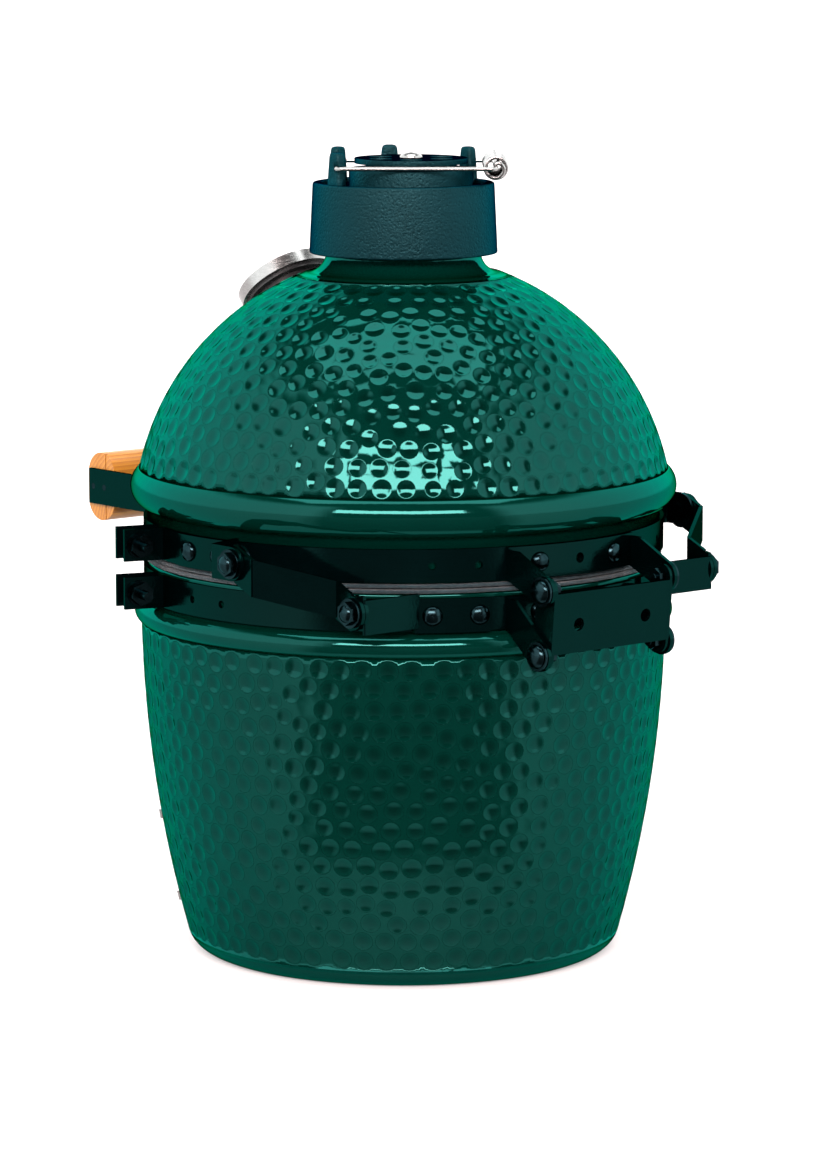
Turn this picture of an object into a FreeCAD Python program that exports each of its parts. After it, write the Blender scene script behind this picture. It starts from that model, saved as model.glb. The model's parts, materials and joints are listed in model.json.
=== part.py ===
import FreeCAD, Part
import math
import os
import Sketcher

# Small ceramic charcoal grill: an egg-shaped base and dome on a spring-style rear hinge,
# a cast-iron vent cap, a wooden front handle and a sliding draft door.
# Frame: millimetres, +Z up, origin on the ground at the middle of the foot.
# The user stands at -Y (handle, thermometer, draft door); the hinge is at +Y.

SIZES = {
    # base shell
    "base_foot_edge": 113.6, "base_foot_round": 13.0, "base_swell": 675.0,
    "base_wall_top_r": 140.4, "base_wall_top_z": 178.0,
    "base_bead_r": 6.6, "base_bead_end_r": 139.9, "base_bead_end_z": 190.0,
    "base_collar_r": 136.8, "base_rim_z": 211.0, "base_rim_inner_r": 122.5,
    "base_inner_swell": 660.0, "base_floor_r": 98.0, "base_floor_z": 15.0,
    "draft_width": 56.0, "draft_low_z": 26.0, "draft_high_z": 60.0,
    # dome shell
    "dome_rim_z": 216.4, "dome_collar_top_z": 239.0, "dome_lip_r": 139.2,
    "dome_bulge_r": 11.9, "dome_bulge_end_r": 141.0, "dome_bulge_end_z": 260.0,
    "dome_sphere": 144.4, "dome_shoulder_r": 52.0, "dome_shoulder_z": 363.3,
    "neck_round": 11.0, "neck_r": 41.3, "neck_low_z": 372.0, "neck_top_z": 391.5,
    "neck_bore_r": 30.0, "neck_bore_low_z": 355.1, "dome_inner_sphere": 130.0,
    "dome_inner_low_r": 129.5, "dome_inner_low_z": 240.0, "dome_inner_step_z": 228.0,
    "dome_inner_rim_r": 124.5, "dome_crown_z": 300.0,
    # gaskets
    "gasket_inner_r": 125.0, "gasket_outer_r": 138.4, "gasket_split_z": 213.7,
    "gasket_gap": 0.15,
    # bands
    "band_inner_r": 137.0, "band_outer_r": 139.0, "sheet": 2.0,
    "lower_band_z": 192.0, "upper_band_z": 217.3, "band_height": 16.9,
    "clamp_angle": 108.0, "clamp_half_gap": 5.5, "clamp_tab_r": 160.0, "clamp_bolt_r": 152.0,
    "clamp_bolt_length": 30.0, "clamp_bolt_radius": 2.5,
    # fasteners
    "bolt_radius": 2.5, "bolt_head_radius": 5.2, "bolt_head_height": 3.2,
    "hole_radius": 2.7, "acorn_radius": 6.2, "acorn_height": 4.6,
    "washer_radius": 7.6, "washer_height": 1.4,
    "pin_radius": 2.5, "pin_hole_radius": 2.58, "nut_radius": 4.6,
    # rear hinge
    "ear_inner_x": 41.0, "ear_round": 8.0,
    "upper_pin_y": 160.5, "upper_pin_z": 214.5, "lower_pin_y": 157.5, "lower_pin_z": 181.0,
    "ear_root_y": 133.1, "upper_ear_top_y": 141.0, "upper_ear_top_z": 232.6,
    "lower_ear_top_y": 139.5, "lower_ear_top_z": 207.5,
    "channel_flange_r": 7.0, "channel_clear": 0.4,
    "access_hole_x": 23.0, "access_hole_z": 196.5, "access_hole_radius": 3.4,
    # side links
    "wing_pin_y": 105.5, "wing_pin_z": 205.0, "wing_flange_x": 119.5,
    "side_pin_y": 53.0, "side_pin_z": 227.5, "side_flange_x": 157.0, "side_bend_y": 38.0,
    "strap_height": 17.6, "strap_plate_y": 112.0, "arm_bend_y": 67.0, "arm_rear_bend_y": 93.0,
    "arm_gap": 0.4, "arm_eye_radius": 6.3, "side_washer_radius": 9.6, "wing_washer_radius": 5.2,
    # handle
    "handle_strip_x": 60.0, "handle_strip_height": 19.6, "handle_z": 234.0,
    "handle_strip_front_y": -199.0, "handle_strip_band_y": -125.5, "handle_centre_y": -190.0,
    "handle_depth": 24.0, "handle_height": 38.0, "handle_flange_width": 22.0,
    # fire parts
    "firebox_outer_r": 112.0, "firebox_top_z": 186.0, "firebox_split_z": 136.0, "firebox_wall": 14.0,
    "firebox_foot_r": 86.0, "firebox_ledge_z": 74.0, "firebox_throat_r": 52.0,
    "fire_grate_r": 62.0, "fire_grate_height": 7.0, "grid_r": 118.0, "grid_wire": 2.6,
    "grid_z": 191.0, "grid_pitch": 14.0, "grid_bar": 1.9,
    # vent cap
    "hood_low_z": 373.5, "hood_top_z": 411.0, "hood_low_r": 50.0, "hood_top_r": 48.2,
    "hood_inner_r": 43.6, "hood_deck_z": 391.8, "hood_deck_top_z": 397.0, "hood_port_r": 29.0,
    "cap_turn": 140.0, "lug_height": 17.0, "lug_depth": 6.5, "lug_width": 11.0,
    "lug_centre_r": 43.4, "lid_shift": 4.0, "lid_low_z": 404.5, "lid_boss_r": 33.0,
    "lid_top_z": 418.2, "lid_port_r": 6.0, "lid_port_ring": 18.5,
    "wheel_r": 30.0, "wheel_hub_r": 24.0, "wheel_low_z": 418.5, "wheel_step_z": 420.9,
    "wheel_top_z": 423.7, "wire_radius": 1.15, "bail_pivot_u": -35.0, "bail_leg_d": 34.5,
    "bail_grip_u": 48.5, "bail_z": 419.9, "grip_radius": 6.6, "grip_half_length": 28.0,
    # thermometer
    "thermo_polar": 39.0, "thermo_case_r": 25.0, "thermo_bezel_r": 27.5,
    "thermo_stand": 3.5, "thermo_depth": 12.0, "thermo_bezel_height": 6.5,
    "thermo_stem_r": 2.2, "thermo_stem_length": 62.0,
    # draft door
    "draft_frame_gap": 0.4, "draft_frame_sheet": 1.5, "draft_frame_half_angle": 40.5,
    "draft_frame_low_z": 18.0, "draft_frame_high_z": 68.0, "door_half_angle": 12.8,
    "draft_screw_angle": 38.8, "draft_screw_low_z": 29.0, "draft_screw_high_z": 57.0,
}

doc = FreeCAD.newDocument("CeramicGrill")
sheet = doc.addObject("Spreadsheet::Sheet", "Sizes")
for row, (alias, number) in enumerate(SIZES.items(), start=1):
    sheet.set("A%d" % row, alias)
    sheet.set("B%d" % row, str(number))
    sheet.setAlias("B%d" % row, alias)
doc.recompute()


class Size:
    """A length with the spreadsheet expression that it comes from."""

    def __init__(self, value, text):
        self.value = value
        self.text = text

    def _join(self, other, sign, value):
        text = other.text if isinstance(other, Size) else repr(float(other))
        return Size(value, "(%s %s %s)" % (self.text, sign, text))

    def __add__(self, other):
        return self._join(other, "+", self.value + number(other))

    def __sub__(self, other):
        return self._join(other, "-", self.value - number(other))

    def __mul__(self, other):
        return self._join(other, "*", self.value * number(other))

    def __truediv__(self, other):
        return self._join(other, "/", self.value / number(other))

    def __neg__(self):
        return self * -1


def number(thing):
    return thing.value if isinstance(thing, Size) else float(thing)


def size(alias):
    return Size(SIZES[alias], "Sizes." + alias)


def bind(thing, name, value):
    """Set a property and, where it comes from the sheet, bind it to its cells."""
    setattr(thing, name, number(value))
    if isinstance(value, Size):
        thing.setExpression(name, value.text)


def place(thing, point, direction=(0, 0, 1), turn=0.0):
    lean = FreeCAD.Rotation(FreeCAD.Vector(0, 0, 1), FreeCAD.Vector(*direction))
    spin = FreeCAD.Rotation(FreeCAD.Vector(0, 0, 1), turn)
    where = FreeCAD.Vector(*[number(c) for c in point])
    thing.Placement = FreeCAD.Placement(where, lean * spin)
    return thing


# ---------------------------------------------------------------- primitives and booleans

def cylinder(radius, height, point=(0, 0, 0), direction=(0, 0, 1)):
    thing = doc.addObject("Part::Cylinder", "Cylinder")
    bind(thing, "Radius", radius)
    bind(thing, "Height", height)
    return place(thing, point, direction)


def box(length, width, height, centre, direction=(0, 0, 1), turn=0.0):
    """A box about its centre point."""
    thing = doc.addObject("Part::Box", "Box")
    bind(thing, "Length", length)
    bind(thing, "Width", width)
    bind(thing, "Height", height)
    place(thing, centre, direction, turn)
    half = FreeCAD.Vector(number(length) / 2, number(width) / 2, number(height) / 2)
    thing.Placement.Base = thing.Placement.Base - thing.Placement.Rotation.multVec(half)
    return thing


def dome_head(radius, height, point, direction):
    thing = doc.addObject("Part::Ellipsoid", "Head")
    bind(thing, "Radius1", height)
    bind(thing, "Radius2", radius)
    thing.Angle1 = 0
    thing.Angle2 = 90
    return place(thing, point, direction)


def hexagon(radius, height, point, direction):
    thing = doc.addObject("Part::Prism", "Hexagon")
    thing.Polygon = 6
    bind(thing, "Circumradius", radius)
    bind(thing, "Height", height)
    return place(thing, point, direction)


def fuse(*things):
    if len(things) == 1:
        return things[0]
    thing = doc.addObject("Part::MultiFuse", "Fuse")
    thing.Shapes = list(things)
    return thing


def cut(base, *tools):
    thing = doc.addObject("Part::Cut", "Cut")
    thing.Base = base
    thing.Tool = fuse(*tools)
    return thing


def common(*things):
    thing = doc.addObject("Part::MultiCommon", "Common")
    thing.Shapes = list(things)
    return thing


def group(things):
    thing = doc.addObject("Part::Compound", "Group")
    thing.Links = list(things)
    return thing


def tube(outer, inner, height, z):
    return cut(cylinder(outer, height, (0, 0, z)), cylinder(inner, height + 2, (0, 0, number(z) - 1)))


# ---------------------------------------------------------------- sketched bodies

def new_sketch(body, role):
    sketch = body.newObject("Sketcher::SketchObject", body.Name + "Sketch")
    plane = [f for f in body.Origin.OriginFeatures if f.Role == role][0]
    sketch.AttachmentSupport = [(plane, "")]
    sketch.MapMode = "FlatFace"
    return sketch


def pin_down(sketch, index, end, point):
    """Fix one end of a sketch edge to its distances from the sketch origin."""
    for kind, value in (("DistanceX", point[0]), ("DistanceY", point[1])):
        if abs(number(value)) < 1e-9:
            axis = -2 if kind == "DistanceX" else -1
            sketch.addConstraint(Sketcher.Constraint("PointOnObject", index, end, axis))
            continue
        place_in_list = sketch.addConstraint(Sketcher.Constraint(kind, -1, 1, index, end, number(value)))
        if isinstance(value, Size):
            sketch.setExpression("Constraints[%d]" % place_in_list, value.text)


def arc_through(start, end, radius, side):
    """The arc from start to end; side +1 bulges to the left of the way, -1 to the right."""
    sx, sy = number(start[0]), number(start[1])
    ex, ey = number(end[0]), number(end[1])
    r = number(radius)
    half = math.hypot(ex - sx, ey - sy) / 2
    rise = r - math.sqrt(max(r * r - half * half, 0.0))
    nx, ny = -(ey - sy) / (2 * half), (ex - sx) / (2 * half)
    mid = FreeCAD.Vector((sx + ex) / 2 + side * rise * nx, (sy + ey) / 2 + side * rise * ny, 0)
    return Part.Arc(FreeCAD.Vector(sx, sy, 0), mid, FreeCAD.Vector(ex, ey, 0))


def outline(sketch, points):
    """Close an outline through points; a point may carry (radius, side) of the arc that leads to it."""
    count = len(points)
    for index in range(count):
        start = points[index]
        end = points[(index + 1) % count]
        if len(end) > 2:
            sketch.addGeometry(arc_through(start, end, end[2], end[3]))
        else:
            a = FreeCAD.Vector(number(start[0]), number(start[1]), 0)
            b = FreeCAD.Vector(number(end[0]), number(end[1]), 0)
            sketch.addGeometry(Part.LineSegment(a, b))
    ends = []
    for index in range(count):
        end = points[(index + 1) % count]
        reverse = len(end) > 2 and end[3] > 0
        ends.append((2, 1) if reverse else (1, 2))
    for index in range(count):
        following = (index + 1) % count
        link = Sketcher.Constraint("Coincident", index, ends[index][1], following, ends[following][0])
        sketch.addConstraint(link)
    for index in range(count):
        pin_down(sketch, index, ends[index][0], points[index])
        end = points[(index + 1) % count]
        if len(end) > 2:
            where = sketch.addConstraint(Sketcher.Constraint("Radius", index, number(end[2])))
            if isinstance(end[2], Size):
                sketch.setExpression("Constraints[%d]" % where, end[2].text)


def turned(label, points):
    """A body of revolution about Z from an outline of (radius, height) points."""
    body = doc.addObject("PartDesign::Body", label)
    sketch = new_sketch(body, "XZ_Plane")
    outline(sketch, points)
    turn = body.newObject("PartDesign::Revolution", label + "Turn")
    turn.Profile = sketch
    turn.ReferenceAxis = (sketch, ["V_Axis"])
    turn.Angle = 360
    body.Tip = turn
    return body


# ---------------------------------------------------------------- places

def around(angle, radius, z):
    """A point at an angle in degrees from the rear (+Y) towards +X."""
    a = math.radians(angle)
    return (number(radius) * math.sin(a), number(radius) * math.cos(a), number(z))


def outward(angle):
    return around(angle, 1, 0)


def bolt(angle, z, under_head):
    """A dome-headed bolt that points inwards through the band, its head seated at under_head."""
    start = size("band_inner_r") + 0.05
    way = outward(angle)
    shank = cylinder(size("bolt_radius"), under_head - start, around(angle, start, z), way)
    seat = around(angle, under_head, z)
    head = dome_head(size("bolt_head_radius"), size("bolt_head_height"), seat, way)
    return fuse(shank, head)


def hole(angle, z, radius=None):
    return cylinder(radius or size("hole_radius"), 20, around(angle, 130, z), outward(angle))


NODES = {}


def node(label, thing):
    """Keep a finished piece under its node name."""
    thing.Label = label
    NODES[label] = thing
    return thing


LOWER_BOLT_Z = size("lower_band_z") + size("band_height") / 2
UPPER_BOLT_Z = size("upper_band_z") + size("band_height") / 2
WING_ANGLES = (24.0, 34.0)
SIDE_ANGLES = (82.5, 92.0)
HINGE_ANGLES = (-10.4, 10.4)
HANDLE_ANGLES = (180.0 - 21.0, 180.0 + 21.0)
STRAP_OUTER = size("band_outer_r") + size("sheet")


def both_sides(angles):
    return [side * angle for side in (1, -1) for angle in angles]


# ---------------------------------------------------------------- ceramics

def base_shell():
    body = turned("BaseShell", [
        (0, 0),
        (size("base_foot_edge"), 0),
        (size("base_wall_top_r"), size("base_wall_top_z"), size("base_swell"), -1),
        (size("base_bead_end_r"), size("base_bead_end_z"), size("base_bead_r"), -1),
        (size("base_collar_r"), size("base_bead_end_z") + 0.8),
        (size("base_collar_r"), size("base_rim_z")),
        (size("base_rim_inner_r"), size("base_rim_z")),
        (size("base_floor_r"), size("base_floor_z"), size("base_inner_swell"), 1),
        (0, size("base_floor_z")),
    ])
    doc.recompute()
    turn = body.Tip
    edges = [i for i, e in enumerate(turn.Shape.Edges, start=1)
             if e.BoundBox.ZMax < 0.01 and e.BoundBox.XMax > SIZES["base_foot_edge"] - 0.1]
    foot = body.newObject("PartDesign::Fillet", "FootRound")
    foot.Base = (turn, ["Edge%d" % i for i in edges])
    bind(foot, "Radius", size("base_foot_round"))
    body.Tip = foot
    height = size("draft_high_z") - size("draft_low_z")
    middle = (0, -110, (SIZES["draft_high_z"] + SIZES["draft_low_z"]) / 2)
    return node("base_shell", cut(body, box(size("draft_width"), 80, height, middle)))


def firebox():
    outer = size("firebox_outer_r")
    inner = outer - size("firebox_wall")
    body = turned("FireboxBody", [
        (size("firebox_foot_r") - size("firebox_wall"), size("base_floor_z")),
        (size("firebox_foot_r"), size("base_floor_z")),
        (outer, size("firebox_split_z") - 10),
        (outer, size("firebox_split_z")),
        (inner, size("firebox_split_z")),
        (size("firebox_throat_r") + 24, size("firebox_ledge_z")),
        (size("firebox_throat_r"), size("firebox_ledge_z")),
        (size("firebox_throat_r"), size("firebox_ledge_z") - 14),
        (size("firebox_foot_r") - size("firebox_wall"), size("firebox_ledge_z") - 18),
    ])
    door = box(size("draft_width") + 4, 80, 44, (0, -80, 37.2))
    vents = [cylinder(6, 40, around(45 * k, 80, 100), outward(45 * k)) for k in range(8)]
    node("firebox", cut(body, door, *vents))
    low = size("firebox_split_z") + 0.2
    node("fire_ring", tube(outer, inner, size("firebox_top_z") - low, low))


def dome_shell():
    """One fired piece, kept as two nodes: the wall, and the crown with the neck."""
    body = turned("DomeShell", [
        (size("dome_inner_rim_r"), size("dome_rim_z")),
        (size("base_collar_r"), size("dome_rim_z")),
        (size("base_collar_r"), size("dome_collar_top_z")),
        (size("dome_lip_r"), size("dome_collar_top_z") + 0.8),
        (size("dome_bulge_end_r"), size("dome_bulge_end_z"), size("dome_bulge_r"), -1),
        (size("dome_shoulder_r"), size("dome_shoulder_z"), size("dome_sphere"), -1),
        (size("neck_r"), size("neck_low_z"), size("neck_round"), 1),
        (size("neck_r"), size("neck_top_z")),
        (size("neck_bore_r"), size("neck_top_z")),
        (size("neck_bore_r"), size("neck_bore_low_z")),
        (size("dome_inner_low_r"), size("dome_inner_low_z"), size("dome_inner_sphere"), 1),
        (size("dome_inner_rim_r"), size("dome_inner_step_z")),
    ])
    whole = cut(body, thermometer_bore(size("thermo_stem_r") + 1.0, 60))
    above = cylinder(200, 200, (0, 0, size("dome_crown_z")))
    node("dome_shell", cut(whole, above))
    node("dome_crown", common(whole, above))


# ---------------------------------------------------------------- bands and gaskets

def gasket(label, low, high):
    ring = tube(size("gasket_outer_r"), size("gasket_inner_r"), high - low, low)
    return node(label, ring)


def clamp_frame(side, radius):
    """A point beside the band's split, side -1 before it and +1 after it."""
    away = (size("clamp_half_gap") + size("sheet") / 2).value
    x, y, _ = around(SIZES["clamp_angle"], radius, 0)
    tx, ty, _ = outward(SIZES["clamp_angle"] + 90)
    return (x + side * away * tx, y + side * away * ty)


def band(label, z, empty_angles, bolt_angles, middle_z):
    height = size("band_height")
    ring = tube(size("band_outer_r"), size("band_inner_r"), height, z)
    angle = SIZES["clamp_angle"]
    x, y, _ = around(angle, 138, 0)
    gap = box(20, size("clamp_half_gap") * 2, height + 2, (x, y, number(middle_z)), turn=90 - angle)
    tabs = []
    length = size("clamp_tab_r") - size("band_inner_r") - 0.4
    for side in (-1, 1):
        tx, ty = clamp_frame(side, (SIZES["clamp_tab_r"] + SIZES["band_inner_r"] + 0.4) / 2)
        tabs.append(box(length, size("sheet"), height, (tx, ty, number(middle_z)), turn=90 - angle))
    hoop = fuse(cut(ring, gap), *tabs)
    bx, by, _ = around(angle, size("clamp_bolt_r"), 0)
    tx, ty, _ = outward(angle + 90)
    start = (bx - 20 * tx, by - 20 * ty, number(middle_z))
    clamp_hole = cylinder(size("hole_radius"), 40, start, (tx, ty, 0))
    holes = [hole(a, middle_z) for a in bolt_angles]
    holes += [hole(a, middle_z, 2.0) for a in empty_angles]
    return node(label, cut(hoop, clamp_hole, *holes))


def clamp_bolt(label, middle_z):
    """The bolt across the band's split: a domed head in front, washer and nut at the rear."""
    angle = SIZES["clamp_angle"]
    bx, by, _ = around(angle, size("clamp_bolt_r"), 0)
    tx, ty, _ = [-c for c in outward(angle + 90)]
    face = SIZES["clamp_half_gap"] + SIZES["sheet"]
    z = number(middle_z)

    def along(distance):
        return (bx + distance * tx, by + distance * ty, z)

    shank = cylinder(size("clamp_bolt_radius"), size("clamp_bolt_length"), along(-face), (tx, ty, 0))
    head = dome_head(size("bolt_head_radius"), size("bolt_head_height"), along(-face), (-tx, -ty, 0))
    washer = cut(cylinder(size("washer_radius") - 1, 1.2, along(face), (tx, ty, 0)),
                 cylinder(size("hole_radius"), 4, along(face - 1), (tx, ty, 0)))
    nut = cut(hexagon(size("acorn_radius"), 4.6, along(face + 1.2), (tx, ty, 0)),
              cylinder(size("clamp_bolt_radius"), 8, along(face), (tx, ty, 0)))
    return node(label, group([fuse(shank, head), washer, nut]))


# ---------------------------------------------------------------- rear hinge

def ear(side, top, low_z, pin):
    """A flat ear that narrows from the band to a rounded end about a pin (y, z)."""
    body = doc.addObject("PartDesign::Body", "Ear")
    sketch = new_sketch(body, "YZ_Plane")
    root_y = size("ear_root_y")
    corners = [(root_y, low_z), (root_y, top[1]), top]
    radius = size("ear_round")
    cy, cz = number(pin[0]), number(pin[1])

    def touch(corner, turn):
        """Where the line from a corner touches the ear's round end."""
        dy, dz = cy - number(corner[0]), cz - number(corner[1])
        far = math.hypot(dy, dz)
        reach = math.sqrt(far * far - number(radius) ** 2)
        lean = math.atan2(dz, dy) + turn * math.asin(number(radius) / far)
        return (number(corner[0]) + reach * math.cos(lean), number(corner[1]) + reach * math.sin(lean))

    upper = touch(corners[2], 1)
    lower = touch(corners[0], -1)
    ends = [corners[0], corners[1], corners[2], upper]
    for a, b in zip(ends[:-1], ends[1:]):
        start = FreeCAD.Vector(number(a[0]), number(a[1]), 0)
        sketch.addGeometry(Part.LineSegment(start, FreeCAD.Vector(number(b[0]), number(b[1]), 0)))
    first = math.atan2(lower[1] - cz, lower[0] - cy)
    last = math.atan2(upper[1] - cz, upper[0] - cy)
    if last < first:
        last += 2 * math.pi
    round_end = Part.Circle(FreeCAD.Vector(cy, cz, 0), FreeCAD.Vector(0, 0, 1), number(radius))
    sketch.addGeometry(Part.ArcOfCircle(round_end, first, last))
    low = FreeCAD.Vector(lower[0], lower[1], 0)
    sketch.addGeometry(Part.LineSegment(low, FreeCAD.Vector(number(root_y), number(low_z), 0)))
    for index in (0, 1):
        sketch.addConstraint(Sketcher.Constraint("Coincident", index, 2, index + 1, 1))
    sketch.addConstraint(Sketcher.Constraint("Coincident", 4, 2, 0, 1))
    sketch.addConstraint(Sketcher.Constraint("Tangent", 2, 2, 3, 2))
    sketch.addConstraint(Sketcher.Constraint("Tangent", 4, 1, 3, 1))
    for index, corner in enumerate(corners):
        pin_down(sketch, index, 1, corner)
    pin_down(sketch, 3, 3, pin)
    where = sketch.addConstraint(Sketcher.Constraint("Radius", 3, number(radius)))
    sketch.setExpression("Constraints[%d]" % where, radius.text)
    pad = body.newObject("PartDesign::Pad", "EarPad")
    pad.Profile = sketch
    bind(pad, "Length", size("sheet"))
    pad.Midplane = True
    body.Tip = pad
    middle = size("ear_inner_x") + size("sheet") / 2
    body.Placement.Base = FreeCAD.Vector(side * number(middle), 0, 0)
    return body


def strap_arc(low_z, height, from_x, to_x, rear=True):
    """A strip bent round the band between two X values."""
    ring = tube(STRAP_OUTER, size("band_outer_r"), height, low_z)
    width = to_x - from_x
    y = 115 if rear else -115
    slab = box(width, 110, number(height) + 4, (from_x + width / 2, y, number(low_z) + number(height) / 2))
    return common(ring, slab)


def hinge_bracket(label, low_z, top, pin, middle_z):
    reach = number(size("ear_inner_x") + size("sheet"))
    strip = strap_arc(low_z, size("band_height"), -reach, reach)
    ears = [ear(side, top, low_z, pin) for side in (1, -1)]
    drill = cylinder(size("pin_hole_radius"), 120, (-60, number(pin[0]), number(pin[1])), (1, 0, 0))
    holes = [hole(a, middle_z) for a in HINGE_ANGLES]
    if label.startswith("upper"):
        holes.append(hole(0, middle_z))
    return node(label, cut(fuse(strip, *ears), drill, *holes))


def leaning_box(length, width, height, centre, lean):
    """A box about its centre, leaned about X so that its height follows the channel."""
    thing = box(length, width, height, (0, 0, 0))
    turn = FreeCAD.Placement(FreeCAD.Vector(*centre), FreeCAD.Rotation(FreeCAD.Vector(1, 0, 0), lean))
    thing.Placement = turn.multiply(thing.Placement)
    return thing


def hinge_channel():
    """The swinging channel that carries the dome's ears on the base's ears."""
    half_width = SIZES["ear_inner_x"] - SIZES["channel_clear"]
    thickness = SIZES["sheet"]
    low = (SIZES["lower_pin_y"], SIZES["lower_pin_z"])
    high = (SIZES["upper_pin_y"], SIZES["upper_pin_z"])
    length = math.hypot(high[0] - low[0], high[1] - low[1])
    lean = -math.degrees(math.atan2(high[0] - low[0], high[1] - low[1]))
    middle = ((low[0] + high[0]) / 2, (low[1] + high[1]) / 2)
    pieces = []
    for side in (1, -1):
        x = side * (half_width - thickness / 2)
        pieces.append(leaning_box(size("sheet"), size("channel_flange_r") * 2, length, (x, *middle), lean))
        for y, z in (low, high):
            corner = (x - thickness / 2, y, z)
            pieces.append(cylinder(size("channel_flange_r"), size("sheet"), corner, (1, 0, 0)))
    back_y = middle[0] + SIZES["channel_flange_r"] - thickness / 2
    pieces.append(leaning_box(2 * half_width, size("sheet"), length - 2.0, (0, back_y, middle[1]), lean))
    drills = [cylinder(size("pin_hole_radius"), 120, (-60, y, z), (1, 0, 0)) for y, z in (low, high)]
    for side in (1, -1):
        point = (side * SIZES["access_hole_x"], 155, SIZES["access_hole_z"])
        drills.append(cylinder(size("access_hole_radius"), 20, point, (0, 1, 0)))
    return node("hinge_channel", cut(fuse(*pieces), *drills))


def ear_pins(label, y, z):
    """The pair of pivot bolts: domed heads outside the ears, nuts inside the channel."""
    ear_face = SIZES["ear_inner_x"] + SIZES["sheet"] + 0.05
    inner_face = SIZES["ear_inner_x"] - SIZES["channel_clear"] - SIZES["sheet"] - 0.4
    pins = []
    for side in (1, -1):
        way = (side, 0, 0)
        tail = (side * (inner_face - 6.0), y, z)
        shank = cylinder(size("pin_radius"), ear_face - inner_face + 6.0, tail, way)
        washer = cylinder(size("washer_radius"), size("washer_height"), (side * ear_face, y, z), way)
        seat = (side * (ear_face + SIZES["washer_height"]), y, z)
        head = dome_head(size("acorn_radius"), size("bolt_head_height"), seat, way)
        nut = hexagon(size("nut_radius"), 4.0, (side * inner_face, y, z), (-side, 0, 0))
        pins.append(fuse(shank, washer, head, nut))
    return node(label, group(pins))


# ---------------------------------------------------------------- side links

def tab(x, y, z, end, depth):
    """An upright tab in a plane of constant X: straight to a rounded end about (y, z)."""
    half = size("strap_height") / 2
    disc = cylinder(half, size("sheet"), (x - SIZES["sheet"] / 2, y, z), (1, 0, 0))
    strip = box(size("sheet"), depth, size("strap_height"), (x, y + end * depth / 2, z))
    return fuse(disc, strip)


def leg(start, finish, z):
    """An upright strip in plan from start to finish, each (x, y) on its centre line."""
    dx, dy = finish[0] - start[0], finish[1] - start[1]
    length = math.hypot(dx, dy)
    centre = ((start[0] + finish[0]) / 2, (start[1] + finish[1]) / 2, z)
    turn = math.degrees(math.atan2(dy, dx))
    return box(length, size("sheet"), size("strap_height"), centre, turn=turn)


def knuckle(point, z):
    """The rounded bend where two legs meet."""
    tall = SIZES["strap_height"]
    return cylinder(size("sheet") / 2, tall, (point[0], point[1], z - tall / 2))


def wing_bracket(side, label):
    """A strip on the lower band whose wing stands square to Y and bends forward to the pivot."""
    z = SIZES["wing_pin_z"]
    plate_y = SIZES["strap_plate_y"]
    x = SIZES["wing_flange_x"]
    inner_x = math.sqrt(number(STRAP_OUTER) ** 2 - plate_y ** 2) - 1.0
    low_x, high_x = sorted((side * 52.0, side * (inner_x + 1.5)))
    strip = strap_arc(LOWER_BOLT_Z - size("strap_height") / 2, size("strap_height"), low_x, high_x)
    wing = leg((side * (inner_x - 0.5), plate_y), (side * x, plate_y), z - 2.0)
    flange = tab(side * x, SIZES["wing_pin_y"], z, 1, plate_y - SIZES["wing_pin_y"])
    drill = cylinder(size("pin_hole_radius"), 30, (side * x - 15, SIZES["wing_pin_y"], z), (1, 0, 0))
    holes = [hole(side * a, LOWER_BOLT_Z) for a in WING_ANGLES]
    clearance = tube(size("band_outer_r"), 100, 60, 180)
    whole = fuse(strip, wing, knuckle((side * x, plate_y), z - 2.0), flange)
    return node(label, cut(whole, drill, clearance, *holes))


def side_bracket(side, label):
    """A strip on the upper band with an oblique leg out to the pivot flange."""
    z = SIZES["side_pin_z"]
    x = SIZES["side_flange_x"] + SIZES["sheet"] / 2
    root = around(side * 77.5, number(STRAP_OUTER) - 1.0, 0)
    bend = (side * x, SIZES["side_bend_y"])
    angle_low, angle_high = 76.0, 97.0
    ring = tube(STRAP_OUTER, size("band_outer_r"), size("band_height"), size("upper_band_z"))
    far = around(side * angle_high, 200, 0)[1]
    near = around(side * angle_low, 141, 0)[1]
    slab = box(60, near - far * 0.7, 30, (side * 141, (near + far * 0.7) / 2, number(UPPER_BOLT_Z)))
    strip = common(ring, slab)
    oblique = leg((root[0], root[1]), bend, z)
    flange = tab(side * x, SIZES["side_pin_y"], z, -1, SIZES["side_pin_y"] - bend[1])
    drill = cylinder(size("pin_hole_radius"), 30, (side * x - 15, SIZES["side_pin_y"], z), (1, 0, 0))
    holes = [hole(side * a, UPPER_BOLT_Z) for a in SIDE_ANGLES]
    clearance = tube(size("band_outer_r"), 100, 60, 200)
    whole = fuse(strip, oblique, knuckle(bend, z), flange)
    return node(label, cut(whole, drill, clearance, *holes))


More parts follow.
